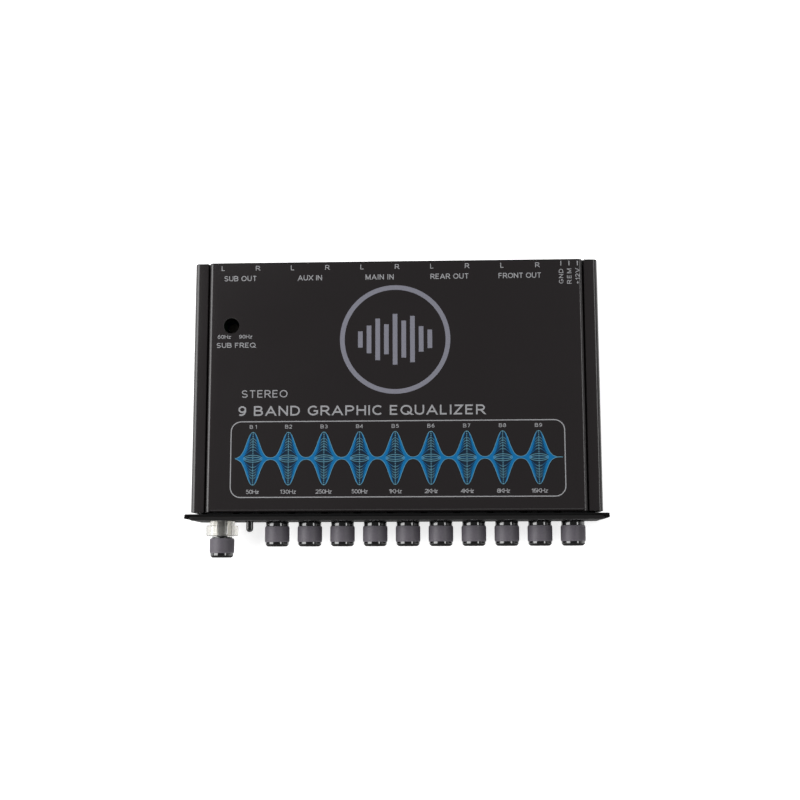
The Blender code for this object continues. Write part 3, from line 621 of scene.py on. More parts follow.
def lever_slot(face_y):
    """Cutter of the upright slot that the selector lever slides in."""
    low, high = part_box("selector_lever")
    room = 0.3 * MM
    travel = 3.0 * MM
    slot_low = (low.x - room, face_y - 4 * MM, low.z - room)
    return cutter(slot_low, (high.x + room, face_y + 5 * MM, high.z + travel + room), 0.6 * MM)


def rimmed_slab(name, outline, front, back, rim_in, rim_deep, material, back_edge=0.15 * MM):
    """Upright slab whose front rim is rounded: rim_in across and rim_deep back."""
    shape = bmesh.new()
    centre = sum(outline, Vector((0, 0))) / len(outline)
    width = max(point.x for point in outline) - centre.x
    height = max(point.y for point in outline) - centre.y
    rings = []

    def ring(y, inset):
        scale_x, scale_z = 1 - inset / width, 1 - inset / height
        points = []
        for point in outline:
            arm = point - centre
            points.append((centre.x + arm.x * scale_x, y, centre.y + arm.y * scale_z))
        return points

    rings.append(ring(back, back_edge))
    rings.append(ring(back - back_edge, 0))
    steps = 8
    for step in range(steps + 1):
        angle = math.pi / 2 * step / steps
        rings.append(ring(front + rim_deep * (1 - math.sin(angle)), rim_in * (1 - math.cos(angle))))
    bridge(shape, rings)
    return finished(name, shape, material, sharp=40)


def make_bezel():
    """Bezel with a full rounded rim, and a recess ring round every control."""
    outline = rounded_rectangle(BEZEL_HIGH.x * 2, BEZEL_HIGH.z, 1.9 * MM, steps=10)
    bezel = rimmed_slab("bezel", outline, BEZEL_LOW.y, BEZEL_HIGH.y + 0.2 * MM, 1.0 * MM, 0.9 * MM, SATIN)
    pierce(bezel, BEZEL_LOW.y, flared_hole, 4.1 * MM, 5.65 * MM, sides=64)
    mount(bezel, ["front_bezel"])


def make_rear_panel():
    """Recessed rear panel with its folded foot and the openings for jacks and power."""
    middle_y = PANEL_FACE_Y - SHEET / 2
    path = folded_path([(PANEL_LOW.y, 1.8 * MM), (middle_y, 1.8 * MM), (middle_y, PANEL_HIGH.z)], BEND)
    panel = bent_sheet("jack_panel", path, PANEL_LOW.x, PANEL_HIGH.x, PAINT, axis="X")
    shoulder = FIELD_HALF - SHEET - 0.3 * MM
    for side in (-1, 1):
        across = sorted((side * shoulder, side * 95 * MM))
        corner_low = (across[0], middle_y - 5 * MM, TRAY_HIGH.z - 2.6 * MM)
        carve(panel, cutter(corner_low, (across[1], middle_y + 5 * MM, 30 * MM)))
    centres = [(x, middle_y, AXIS_Z) for x in BARREL_X]
    carve(panel, drills(plain_hole(3 * MM, 4.45 * MM), centres, "Y"))
    low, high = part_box("power_socket")
    room = Vector((0.3, 0, 0.3)) * MM
    carve(panel, cutter(low - room, high + room))
    mount(panel, ["rear_panel"])


# ---------------------------------------------------------------- controls

def knurl(name, centre, low, high, radius, material, teeth=80, depth=0.3 * MM, pitch=0.41 * MM):
    """Sleeve with a diamond knurl: peaks and valleys alternate round it and along it."""
    shape = bmesh.new()
    rows = int(round((high - low) / pitch))
    lip = 0.28 * MM
    inner = radius - 0.9 * MM
    turns = [index / teeth for index in range(teeth)]
    near = [(low, inner), (low, radius - lip), (low + 0.08 * MM, radius - lip / 2)]
    far = [(high - 0.08 * MM, radius - lip / 2), (high, radius - lip), (high, inner)]
    rings = [[ring_point(centre, along, reach, turn) for turn in turns] for along, reach in near]
    for row in range(1, rows):
        along = low + (high - low) * row / rows
        fade = min(1.0, row / 2, (rows - row) / 2)
        ring = []
        for index in range(teeth):
            valley = depth * ((index + row) % 2) * fade
            ring.append(ring_point(centre, along, radius - valley - (1 - fade) * lip / 3, index / teeth))
        rings.append(ring)
    rings += [[ring_point(centre, along, reach, turn) for turn in turns] for along, reach in far]
    bridge(shape, rings, endless=True)
    return finished(name, shape, material, sharp=22)


def ring_point(centre, along, radius, turn):
    angle = math.tau * turn
    return Vector(centre) + Vector((radius * math.cos(angle), along, radius * math.sin(angle)))


def make_knob(name):
    """Knob in three mouldings: gloss collar with its core, knurled grip and gloss end cap."""
    body = f"{name}_control"
    low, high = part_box(f"{name}_knob")
    centre = (CONTROL_X[name], 0, AXIS_Z)
    tip, back = low.y, high.y
    large = name == "volume"
    grip_front = tip + (1.9 if large else 1.8) * MM
    grip_back = back - (0.6 if large else 1.9) * MM
    collar = (4.4 if large else 4.9) * MM
    skirt = back + 0.05 * MM    # ends short of the potentiometer's bushing
    neck, bore = 3.6 * MM, 2.6 * MM
    hub, shoulder = 4.2 * MM, 4.5 * MM
    seat, bore_end = grip_front + 0.2 * MM, grip_front + 2.4 * MM
    core = [
        (seat, 0), (seat, hub), (grip_back - 0.3 * MM, hub), (grip_back - 0.3 * MM, shoulder),
        (grip_back, shoulder), (grip_back, collar, 0.15 * MM), (back, collar, 0.25 * MM),
        (back, neck, 0.05 * MM), (skirt, neck, 0.05 * MM), (skirt, bore), (bore_end, bore), (bore_end, 0),
    ]
    core_piece = lathe(f"{name}_knob_core", core, centre, GLOSS)
    mount(core_piece, [f"{name}_knob"], body)
    grip = knurl(f"{name}_knob_grip", centre, grip_front, grip_back, 5.25 * MM, GRIP)
    mount(grip, body=body)
    dish, rim, chamfer = 0.18 * MM, 4.95 * MM, 0.85 * MM
    cap_back = grip_front + 0.1 * MM
    cap = [
        (tip + dish, 0), (tip + dish, rim - 1.9 * MM, 0.2 * MM), (tip, rim - 1.5 * MM, 0.25 * MM),
        (tip, rim - chamfer, 0.25 * MM), (tip + chamfer, rim, 0.25 * MM),
        (cap_back, rim, 0.1 * MM), (cap_back, 0),
    ]
    cap_piece = lathe(f"{name}_knob_cap", cap, centre, GLOSS, steps=8)
    repaint(cap_piece, SATIN, lambda face: face.normal.y < CAP_FRONT)
    mount(cap_piece, body=body)
    x = CONTROL_X[name]
    half = 0.28 * MM
    low = (x - half, tip - 0.02 * MM, AXIS_Z + 1.4 * MM)
    high = (x + half, tip + 0.3 * MM, AXIS_Z + 3.7 * MM)
    mount(block(f"{name}_knob_mark", low, high, PRINT, edge=0.08 * MM), body=body)


def make_light_ring():
    """Clear ring with a narrower neck, a stepped mouth and softened edges, and its lamp."""
    low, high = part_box("volume_light_ring")
    centre = (CONTROL_X["volume"], 0, AXIS_Z)
    neck, wide, bore = 5.45 * MM, 6.9 * MM, 3.9 * MM
    step_y = low.y + 4.5 * MM
    profile = [
        (high.y, bore, 0.1 * MM), (high.y, neck, 0.15 * MM), (step_y, neck, 0.2 * MM),
        (step_y, wide, 0.45 * MM), (low.y, wide, 0.6 * MM), (low.y, 5.3 * MM, 0.2 * MM),
        (low.y + 0.5 * MM, 4.9 * MM, 0.2 * MM), (low.y + 0.5 * MM, bore, 0.1 * MM),
    ]
    ring = lathe("clear_ring", profile, centre, ACRYLIC, sides=72)
    mount(ring, ["volume_light_ring"])
    low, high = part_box("ring_lamp")
    lamp = block("lamp", low, high, LAMP, edge=0.3 * MM)
    mount(lamp, ["ring_lamp"])


def make_lever():
    """Selector lever: bar with well rounded long edges and a full round tip."""
    low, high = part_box("selector_lever")
    shape = bmesh.new()
    radius = (high.x - low.x) / 2
    centre_x, tip_y = (low.x + high.x) / 2, low.y + radius
    outline = [(low.x, high.y), (high.x, high.y)]
    for step in range(17):
        angle = math.pi * step / 16
        outline.append((centre_x + radius * math.cos(angle), tip_y - radius * math.sin(angle)))
    rings = []
    edge = 0.75 * radius
    for z, inset in soft_levels(low.z, high.z, (edge, edge), steps=6):
        share = 1 - inset / radius
        ring = []
        for x, y in outline:
            reach = tip_y - (tip_y - y) * share if y < tip_y else y
            ring.append((centre_x + (x - centre_x) * share, reach, z))
        rings.append(ring)
    bridge(shape, rings)
    lever = finished("lever", shape, GLOSS)
    mount(lever, ["selector_lever"], "selector")


# ---------------------------------------------------------------- rear connectors

def make_jacks():
    """Each pair: moulded block, plated shells, coloured insulators and sprung contacts."""
    back = PANEL_FACE_Y - SHEET - 0.3 * MM
    flange_back, flange_front = PANEL_FACE_Y + 0.05 * MM, PANEL_FACE_Y + 0.9 * MM
    bore, barrel, flange = 3.55 * MM, 4.15 * MM, 4.95 * MM
    sleeve, sleeve_bore = 3.5 * MM, 1.75 * MM
    contact_radius, contact_bore = 1.7 * MM, 1.45 * MM
    for pair_index, pair in enumerate(JACK_PAIRS):
        low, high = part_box(f"{pair}_jacks")
        mouth = high.y
        body = block(f"{pair}_block", low, (high.x, back, high.z), BLACK, edge=0.4 * MM)
        mount(body, [f"{pair}_jacks"])
        shell = [
            (back, bore), (back, barrel), (flange_back, barrel, 0.05 * MM),
            (flange_back, flange, 0.15 * MM), (flange_front, flange, 0.25 * MM),
            (flange_front, barrel, 0.1 * MM), (mouth, barrel, 0.3 * MM), (mouth, bore, 0.12 * MM),
        ]
        insulator = [
            (back, sleeve_bore), (back, sleeve), (mouth - 0.7 * MM, sleeve, 0.15 * MM),
            (mouth - 0.7 * MM, 2.6 * MM, 0.2 * MM), (mouth - 0.1 * MM, 2.2 * MM, 0.15 * MM),
            (mouth - 0.1 * MM, sleeve_bore, 0.1 * MM),
        ]
        contact = [
            (mouth - 9 * MM, 0), (mouth - 9 * MM, contact_radius),
            (mouth - 0.9 * MM, contact_radius, 0.1 * MM), (mouth - 0.9 * MM, contact_bore, 0.1 * MM),
            (mouth - 8.5 * MM, contact_bore), (mouth - 8.5 * MM, 0),
        ]
        shells, contacts = [], []
        places = BARREL_X[2 * pair_index:2 * pair_index + 2]
        for side, colour, x in zip(("left", "right"), (WHITE, RED), places):
            centre = (x, 0, AXIS_Z)
            shells.append(lathe("shell", shell, centre, NICKEL))
            mount(lathe(f"{pair}_{side}_insulator", insulator, centre, colour))
            contacts.append(lathe("contact", contact, centre, GOLD, sides=32))
        mount(joined(f"{pair}_shells", shells))
        mount(joined(f"{pair}_contacts", contacts))
        screw = pan_screw(f"{pair}_panel_screw", (sum(places) / 2, PANEL_FACE_Y, AXIS_Z))
        mount(screw)


def carve_cross(screw, place, turn, reach=1.5 * MM, depth=0.9 * MM, width=0.55 * MM):
    """Cut a cross recess as two tapering blades, one after the other."""
    for quarter in (0, 1):
        shape = bmesh.new()
        rings = []
        for z, half in ((-depth, reach * 0.45), (0.4 * MM, reach * 1.1)):
            corners = [(-half, -width / 2), (half, -width / 2), (half, width / 2), (-half, width / 2)]
            if quarter:
                corners = [(-b, a) for a, b in corners]
            rings.append([(a, b, z) for a, b in corners])
        bridge(shape, rings)
        blade = finished("blade", shape, BLACK)
        blade.data.transform(Matrix.Translation(place) @ turn.to_4x4())
        carve(screw, blade)
    return screw


def pan_screw(name, place):
    """Self-tapping pan-head screw driven forward through the rear panel."""
    x, y, z = place
    head = [
        (y - 6 * MM, 0), (y - 6 * MM, 0.4 * MM), (y - 4.5 * MM, 1.35 * MM), (y, 1.35 * MM),
        (y + 0.02 * MM, 2.5 * MM, 0.1 * MM), (y + 0.9 * MM, 2.45 * MM, 0.4 * MM),
        (y + 1.55 * MM, 1.5 * MM, 0.7 * MM), (y + 1.7 * MM, 0),
    ]
    screw = lathe(name, head, (x, 0, z), STEEL, sides=36)
    facing_back = Euler((math.radians(-90), 0, 0)).to_matrix()
    return carve_cross(screw, Vector((x, y + 1.7 * MM, z)), facing_back, reach=1.3 * MM)


def make_base_screws():
    """Flat-head screws in the underside, blackened, with cross recesses."""
    facing_down = Euler((math.radians(180), 0, 0)).to_matrix()
    for row in ("front", "rear"):
        for side in ("left", "right"):
            node = f"base_screw_{row}_{side}"
            low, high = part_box(node)
            x, y, _ = middle(node)
            head, shank = 2.6 * MM, 1.5 * MM
            profile = [
                (low.z, 0), (low.z, head, 0.12 * MM), (low.z + 0.25 * MM, head, 0.1 * MM),
                (low.z + 1.1 * MM, shank, 0.15 * MM), (high.z, shank, 0.3 * MM), (high.z, 0),
            ]
            screw = lathe(f"{node}_finished", profile, (x, y, 0), DARK_STEEL, axis="Z", sides=36)
            carve_cross(screw, Vector((x, y, low.z)), facing_down)
            mount(screw, [node])


def make_power_socket():
    """Shrouded socket with a keyed mouth, three pins and a latch ledge on top."""
    low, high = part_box("power_socket")
    shroud = block("power_shroud", low, high, BLACK, edge=0.35 * MM)
    centre = (low + high) / 2
    half_x, half_z, depth = 5.4 * MM, 3.4 * MM, 8.0 * MM
    mouth_low = (centre.x - half_x, high.y - depth, centre.z - half_z)
    mouth_high = (centre.x + half_x, high.y + 2 * MM, centre.z + half_z)
    carve(shroud, cutter(mouth_low, mouth_high, 0.25 * MM))
    pitch = 3.5 * MM
    half = 0.5 * MM
    for index in (-1, 1):
        x = centre.x + index * pitch / 2
        key_low = (x - half, high.y - depth, centre.z + half_z - SHEET)
        carve(shroud, cutter(key_low, (x + half, high.y + 2 * MM, high.z + SHEET)))
    mount(shroud, ["power_socket"])
    shape = bmesh.new()
    for index in (-1, 0, 1):
        x = centre.x + index * pitch
        soft_box(shape, (x - half, high.y - depth - 2 * MM, centre.z - half),
                 (x + half, high.y - 1.6 * MM, centre.z + half), edge=0.22 * MM)
    mount(finished("power_pins", shape, STEEL))


# ---------------------------------------------------------------- trimmer and inner parts

def make_trimmer():
    """Trimmer body with a countersunk well, and its rotor with a slot and an arrow."""
    low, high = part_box("sub_freq_trimmer")
    centre = (low + high) / 2
    body = block("trimmer_body", low, high, BLUE, edge=0.3 * MM)
    well = [(-3 * MM, 0), (-3 * MM, 2.7 * MM), (-0.2 * MM, 2.7 * MM), (0.2 * MM, 3.1 * MM), (0.2 * MM, 0)]
    carve(body, drills(well, [(centre.x, centre.y, high.z)], "Z"))
    mount(body, ["sub_freq_trimmer"])
    low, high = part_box("sub_freq_rotor")
    profile = [
        (low.z, 0), (low.z, 2.4 * MM, 0.1 * MM), (high.z, 2.4 * MM, 0.35 * MM), (high.z, 0),
    ]
    rotor = lathe("trimmer_rotor", profile, (centre.x, centre.y, 0), SHADED_CREAM, axis="Z")
    slot, arrow = Vector((0.45, 4, 0.9)) * MM, Vector((1.9, 0.3, 0.5)) * MM
    top = Vector((centre.x, centre.y, high.z))
    carve(rotor, cutter(top - slot, top + Vector((slot.x, slot.y, SHEET))))
    carve(rotor, cutter(top - arrow, top + Vector((0, arrow.y, SHEET))))
    mount(rotor, ["sub_freq_rotor"], "sub_freq_adjuster")


def finish_inner_nodes():
    """Procedural finishes for the CAD nodes that stay: those sealed inside the case."""
    finishes = {
        "main_board": BOARD, "filter_capacitor": SLEEVE, "supply_choke": FERRITE,
        "voltage_regulator": BLACK, "selector_switch": DARK_STEEL,
        "cover_screw_left": PLATE_PAINT, "cover_screw_right": PLATE_PAINT,
    }
    for name in CONTROLS:
        finishes[f"{name}_pot"] = BLACK
        finishes[f"{name}_shaft"] = DARK_STEEL
    for node, material in finishes.items():
        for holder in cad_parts[node].material_slots:
            holder.material = material


# ---------------------------------------------------------------- print

# Strokes of each character in cap heights: (x, y) points, and (x, y, rx, ry, from, to) arcs
ROUND = [(0.42, 0.5, 0.42, 0.5, 0, 360)]
BOWL = [(0, 1), (0.34, 1), (0.34, 0.73, 0.27, 0.27, 90, -90), (0, 0.46)]
STEM = [(0, 0), (0, 1)]
CHARACTERS = {
    " ": [],
    "+": [[(0, 0.5), (0.5, 0.5)], [(0.25, 0.25), (0.25, 0.75)]],
    "-": [[(0, 0.5), (0.5, 0.5)]],
    "A": [[(0, 0), (0.39, 1), (0.78, 0)], [(0.13, 0.3), (0.65, 0.3)]],
    "B": [STEM, [(0, 1), (0.34, 1), (0.34, 0.765, 0.24, 0.235, 90, -90), (0, 0.53)],
          [(0.3, 0.53), (0.36, 0.265, 0.28, 0.265, 90, -90), (0, 0)]],
    "C": [[(0.4, 0.5, 0.4, 0.5, 46, 314)]],
    "D": [STEM, [(0, 1), (0.28, 1), (0.28, 0.5, 0.4, 0.5, 90, -90), (0, 0)]],
    "E": [[(0.56, 0), (0, 0), (0, 1), (0.56, 1)], [(0, 0.53), (0.5, 0.53)]],
    "F": [[(0, 0), (0, 1), (0.54, 1)], [(0, 0.52), (0.47, 0.52)]],
    "G": [[(0.4, 0.5, 0.4, 0.5, 46, 322)], [(0.74, 0.12), (0.74, 0.46), (0.42, 0.46)]],
    "H": [STEM, [(0.66, 0), (0.66, 1)], [(0, 0.52), (0.66, 0.52)]],
    "I": [STEM],
    "K": [STEM, [(0.6, 1), (0, 0.36)], [(0.2, 0.58), (0.66, 0)]],
    "L": [[(0, 1), (0, 0), (0.5, 0)]],
    "M": [[(0, 0), (0, 1), (0.4, 0.05), (0.8, 1), (0.8, 0)]],
    "N": [[(0, 0), (0, 1), (0.66, 0), (0.66, 1)]],
    "O": [ROUND],
    "P": [STEM, BOWL],
    "Q": [ROUND, [(0.5, 0.3), (0.86, 0)]],
    "R": [STEM, BOWL, [(0.32, 0.46), (0.64, 0)]],
    "S": [[(0.31, 0.745, 0.28, 0.255, 25, 270), (0.31, 0.245, 0.31, 0.245, 90, -155)]],
    "T": [[(0, 1), (0.66, 1)], [(0.33, 0), (0.33, 1)]],
    "U": [[(0, 1), (0, 0.33), (0.33, 0.33, 0.33, 0.33, 180, 360), (0.66, 1)]],
    "V": [[(0, 1), (0.38, 0), (0.76, 1)]],
    "X": [[(0, 0), (0.7, 1)], [(0, 1), (0.7, 0)]],
    "Z": [[(0, 1), (0.62, 1), (0, 0), (0.62, 0)]],
    "z": [[(0, 0.66), (0.4, 0.66), (0, 0), (0.4, 0)]],
    "0": [[(0.27, 0.5, 0.27, 0.5, 0, 360)]],
    "1": [[(0, 0.76), (0.24, 1), (0.24, 0)]],
    "2": [[(0.27, 0.72, 0.25, 0.28, 165, -35), (0, 0), (0.54, 0)]],
    "3": [[(0.25, 0.76, 0.23, 0.24, 150, -90), (0.25, 0.52)], [(0.25, 0.26, 0.27, 0.26, 90, -150)]],
    "4": [[(0.42, 0), (0.42, 1), (0, 0.28), (0.58, 0.28)]],
    "5": [[(0.48, 1), (0.1, 1), (0.04, 0.54)], [(0.24, 0.32, 0.28, 0.32, 135, -150)]],
    "6": [[(0.28, 0.32, 0.26, 0.32, 0, 360)], [(0.36, 0.46, 0.34, 0.54, 62, 190)]],
    "7": [[(0, 1), (0.52, 1), (0.2, 0)]],
    "8": [[(0.27, 0.765, 0.22, 0.235, 0, 360)], [(0.27, 0.265, 0.27, 0.265, 0, 360)]],
    "9": [[(0.26, 0.68, 0.26, 0.32, 0, 360)], [(0.18, 0.54, 0.34, 0.54, -118, 10)]],
}
ARC_STEP = 15                 # degrees between the points of a round stroke


def stroke_points(stroke):
    """Points of one stroke in cap heights, with its arcs worked out."""
    points = []
    for item in stroke:
        if len(item) == 2:
            points.append(Vector(item))
            continue
        x, y, wide, tall, start, end = item
        steps = max(2, round(abs(end - start) / ARC_STEP))
        for step in range(steps + 1):
            angle = math.radians(start + (end - start) * step / steps)
            points.append(Vector((x + wide * math.cos(angle), y + tall * math.sin(angle))))
    apart = [True] + [(two - one).length > 0.001 for one, two in zip(points, points[1:])]
    return [point for point, keep in zip(points, apart) if keep]


def character_width(strokes):
    return max((point.x for stroke in strokes for point in stroke_points(stroke)), default=0.12)


class Print:
    """Raised ink, drawn flat in millimetres and then laid on a surface."""

    def __init__(self, lift=0.0):
        self.shape = bmesh.new()
        self.strokes = 0
        self.lift = lift - INK_SINK

    def strip(self, left, right, closed=False):
        """Ink between two lines of flat points."""
        self.strokes += 1
        height = self.strokes % INK_LAYERS * INK_STEP + self.lift
        sides = []
        for line in (left, right):
            sides.append([self.shape.verts.new((point.x * MM, point.y * MM, height)) for point in line])
        faces = []
        count = len(left)
        for index in range(count if closed else count - 1):
            following = (index + 1) % count
            corners = (sides[0][index], sides[0][following], sides[1][following], sides[1][index])
            faces.append(self.shape.faces.new(corners))
        return faces

    def raised(self, faces):
        grown = bmesh.ops.extrude_face_region(self.shape, geom=faces)["geom"]
        lifted = [item for item in grown if isinstance(item, bmesh.types.BMVert)]
        bmesh.ops.translate(self.shape, verts=lifted, vec=UP * (INK + INK_SINK))

    def stroke(self, points, width, closed=False):
        """Flat faces of a line of the given width, mitred at its corners."""
        count = len(points)
        left, right = [], []
        for index, point in enumerate(points):
            before = points[index - 1] if index or closed else point
            after = points[(index + 1) % count] if index < count - 1 or closed else point
            incoming = (point - before).normalized() if before != point else (after - point).normalized()
            outgoing = (after - point).normalized() if after != point else incoming
            normal = Vector((-incoming.y - outgoing.y, incoming.x + outgoing.x))
            reach = normal / (1 + incoming.dot(outgoing)) * width / 2
            left.append(point + reach)
            right.append(point - reach)
        return self.strip(left, right, closed)

    def line(self, points, width, closed=False):
        self.raised(self.stroke([Vector(point) for point in points], width, closed))

    def bar(self, low, high):
        middle_x = (low[0] + high[0]) / 2
        self.line([(middle_x, low[1]), (middle_x, high[1])], high[0] - low[0])

    def ellipse(self, centre, wide, tall, width, steps):
        points = []
        for step in range(steps):
            angle = math.tau * step / steps
            points.append((centre[0] + wide * math.cos(angle), centre[1] + tall * math.sin(angle)))
        self.line(points, width, closed=True)

    def text(self, words, centre, width, height, weight=0.15, stretch=1.15, turned=False):
        """Lettering with capitals of the given height, spaced out to the given width."""
        stroke_width = weight * height
        inner = height - stroke_width
        spans = [character_width(CHARACTERS[character]) * height * stretch for character in words]
        gap = (width - stroke_width - sum(spans)) / max(len(words) - 1, 1)
        start = -(sum(spans) + gap * (len(words) - 1)) / 2
        for character, span in zip(words, spans):
            for stroke in CHARACTERS[character]:
                points = []
                for point in stroke_points(stroke):
                    points.append(Vector((start + point.x * height * stretch, (point.y - 0.5) * inner)))
                self.character_stroke(points, stroke_width, height, centre, turned)
            start += span + gap

    def character_stroke(self, points, width, height, centre, turned):
        """One stroke, run past the letter's foot and top and trimmed level there."""
        closed = (points[0] - points[-1]).length < width / 10
        if closed:
            points = points[:-1]
        else:
            for end, neighbour in ((0, 1), (-1, -2)):
                away = (points[end] - points[neighbour]).normalized()
                level = abs(points[end].y) > (height - width) / 2 - width / 10
                if level and abs(away.y) > 0.3:
                    points[end] = points[end] + away * width * 1.5
        faces = self.stroke(points, width, closed)
        for side in (-1, 1):
            geometry = {item for face in faces for item in (face, *face.edges, *face.verts)}
            cut = bmesh.ops.bisect_plane(self.shape, geom=list(geometry), dist=1e-9, clear_outer=True,
                                         plane_co=(0, side * height / 2 * MM, 0), plane_no=(0, side, 0))
            faces = [item for item in cut["geom"] if isinstance(item, bmesh.types.BMFace)]
        turn = Matrix.Rotation(math.pi / 2 if turned else 0, 4, "Z")
        place = Matrix.Translation((centre[0] * MM, centre[1] * MM, 0)) @ turn
        verts = list({vert for face in faces for vert in face.verts})
        bmesh.ops.transform(self.shape, matrix=place, verts=verts)
        self.raised(faces)

    def piece(self, name, material, place, slot=None):
        made = finished(name, self.shape, material, sharp=30)
        made.data.transform(place)
        return mount(made)


# The cover's artwork is measured from the middle of its rear edge, forward being negative
COVER_PLACE = Matrix.Translation((0, REAR_Y, TOP_Z))
BAND_PITCH = 15.03
FRAME_LEFT, FRAME_RIGHT, FRAME_REAR, FRAME_FRONT, FRAME_CORNER = -69.5, 71.0, -69.2, -101.2, 4.3
WAVE_Y = -84.9
WAVE_HEIGHT = 11.2
WAVE_SPREAD, WAVE_POWER = 3.5, 2.25
WAVE_WAIST = 0.03             # share of the height left between two bands
WAVE_SHARES = [1.0, 0.755, 0.65, 0.55, 0.45, 0.33]
CROWN_REACH = 1.9             # the inner curves are pale this far from a band's middle
FLANK_SHARE = 0.66            # share of the outer curve's height that is solid in its flanks


def band_x(index):
    """Middle of one band's curves."""
    return BAND_PITCH * (index - 4)


def make_labels():
    """Socket, trimmer, title and band lettering, with the lines that go with it."""
    grey = Print()
    barrels = [x / MM for x in BARREL_X]
    for name, pair, width in zip(JACK_PAIRS, range(5), [14.1, 10.4, 12.1, 16.4, 18.2]):
        x = (barrels[2 * pair] + barrels[2 * pair + 1]) / 2
        grey.text(name.replace("_", " ").upper(), (x, -7.0), width, 2.3, stretch=1.0)
    for index, x in enumerate(barrels):
        grey.text("LR"[index % 2], (x, -2.5), 1.5, 2.15)
    grey.text("60Hz", (-73.2, -32.5), 5.7, 1.65)
    grey.text("90Hz", (-64.0, -32.5), 5.6, 1.65)
    grey.text("SUB FREQ", (-68.05, -36.2), 16.8, 2.15)
    grey.text("STEREO", (-55.5, -57.3), 19.6, 3.2, weight=0.13, stretch=1.1)
    grey.text("9 BAND GRAPHIC EQUALIZER", (-14.3, -64.6), 104.5, 4.2, weight=0.16, stretch=1.2)
    for words, x, length in (("GND", 70.9, 6.4), ("REM", 74.35, 6.6), ("+12V", 77.9, 7.0)):
        grey.text(words, (x, -7.6), length, 1.9, turned=True)
        grey.bar((x - 0.2, -2.9), (x + 0.2, -0.9))
    for index, words in enumerate(BAND_LABELS):
        grey.text(f"B{index + 1}", (band_x(index), -71.4), 3.0, 1.6)
        grey.text(words, (band_x(index), -98.85), 1.35 * len(words), 1.75)
    corner = Vector(((FRAME_LEFT + FRAME_RIGHT) / 2, FRAME_FRONT))
    outline = rounded_rectangle(FRAME_RIGHT - FRAME_LEFT, FRAME_REAR - FRAME_FRONT, FRAME_CORNER)
    grey.line([corner + point for point in outline], 0.42, closed=True)
    grey.piece("cover_labels", PRINT, COVER_PLACE)


def wave(x):
    """Height of the outer response curve at x, as a share of its full height."""
    end = BAND_PITCH * 4.5
    offset = (x + end) % BAND_PITCH - BAND_PITCH / 2
    waist = WAVE_WAIST * min(1.0, (end - abs(x)) / 2 + 0.15)
    return waist + (1 - waist) * math.exp(-abs(offset / WAVE_SPREAD) ** WAVE_POWER)


def ramp(value, low, high):
    """Zero below low and one above high."""
    return min(1.0, max(0.0, (value - low) / (high - low)))


def make_curves():
    """Boost and cut curves of every band; they run together in the flanks, as solid blue."""
    deep, blue, pale = Print(), Print(INK_STEP * INK_LAYERS), Print(2 * INK_STEP * INK_LAYERS)
    steps = 22
    end = BAND_PITCH * 4.5
    run = [(2 * end * index / (9 * steps) - end) * 0.9999 for index in range(9 * steps + 1)]
    offsets = [abs((x + end) % BAND_PITCH - BAND_PITCH / 2) for x in run]
    heights = [WAVE_HEIGHT * wave(x) for x in run]

    def zone(inner_share, outer_share, sign):
        """Both edges of the zone between two shares of the outer curve's height."""
        low, high = [], []
        for x, height, offset in zip(run, heights, offsets):
            low.append(Vector((x, WAVE_Y + sign * height * inner_share(offset))))
            high.append(Vector((x, WAVE_Y + sign * height * outer_share(offset))))
        return low, high

    deep.raised(deep.strip(*zone(lambda offset: -1.0, lambda offset: 1.0, 1)))
    waist = lambda offset: 0.004 + 0.5 * ramp(offset, 3.0, 4.6)
    blue.raised(blue.strip(*zone(lambda offset: -waist(offset), waist, 1)))
    for sign in (-1, 1):
        flank = lambda offset: 0.99 - FLANK_SHARE * ramp(offset, 0.9, 3.4)
        blue.raised(blue.strip(*zone(flank, lambda offset: 1.0, sign)))
        for share in WAVE_SHARES:
            points = [(x, WAVE_Y + sign * height * share) for x, height in zip(run, heights)]
            if share == 1.0:
                pale.line(points, 0.2)
                continue
            blue.line(points, 0.16)
            for index in range(9):
                crown = [point for point in points if abs(point[0] - band_x(index)) < CROWN_REACH]
                pale.line(crown, 0.17)
    for index in range(9):
        for wide, tall in ((3.9, 1.45), (3.4, 0.6)):
            pale.ellipse((band_x(index), WAVE_Y), wide, tall, 0.22, steps=48)
        for dot in range(-14, 15):
            y = WAVE_Y + dot * 0.78
            pale.bar((band_x(index) - 0.17, y - 0.22), (band_x(index) + 0.17, y + 0.22))
    pale.line([(end, WAVE_Y), (FRAME_RIGHT - 1, WAVE_Y)], 0.3)
    deep.piece("cover_curve_ground", DEEP_BLUE_INK, COVER_PLACE)
    blue.piece("cover_curves", BLUE_INK, COVER_PLACE)
    pale.piece("cover_curve_lines", PALE_BLUE_INK, COVER_PLACE)


def make_emblem():
    """Plain ring with nine level bars in it: a generic sign for an equalizer."""
    emblem = Print()
    centre = (0, -34.2)
    emblem.ellipse(centre, 22.5, 22.5, 2.0, steps=144)
    for index, height in enumerate([7, 12, 18, 13, 22, 16, 20, 11, 8]):
        x = centre[0] + (index - 4) * 3.7
        emblem.bar((x - 1.0, centre[1] - height / 2), (x + 1.0, centre[1] + height / 2))
    emblem.piece("cover_emblem", EMBLEM_INK, COVER_PLACE)


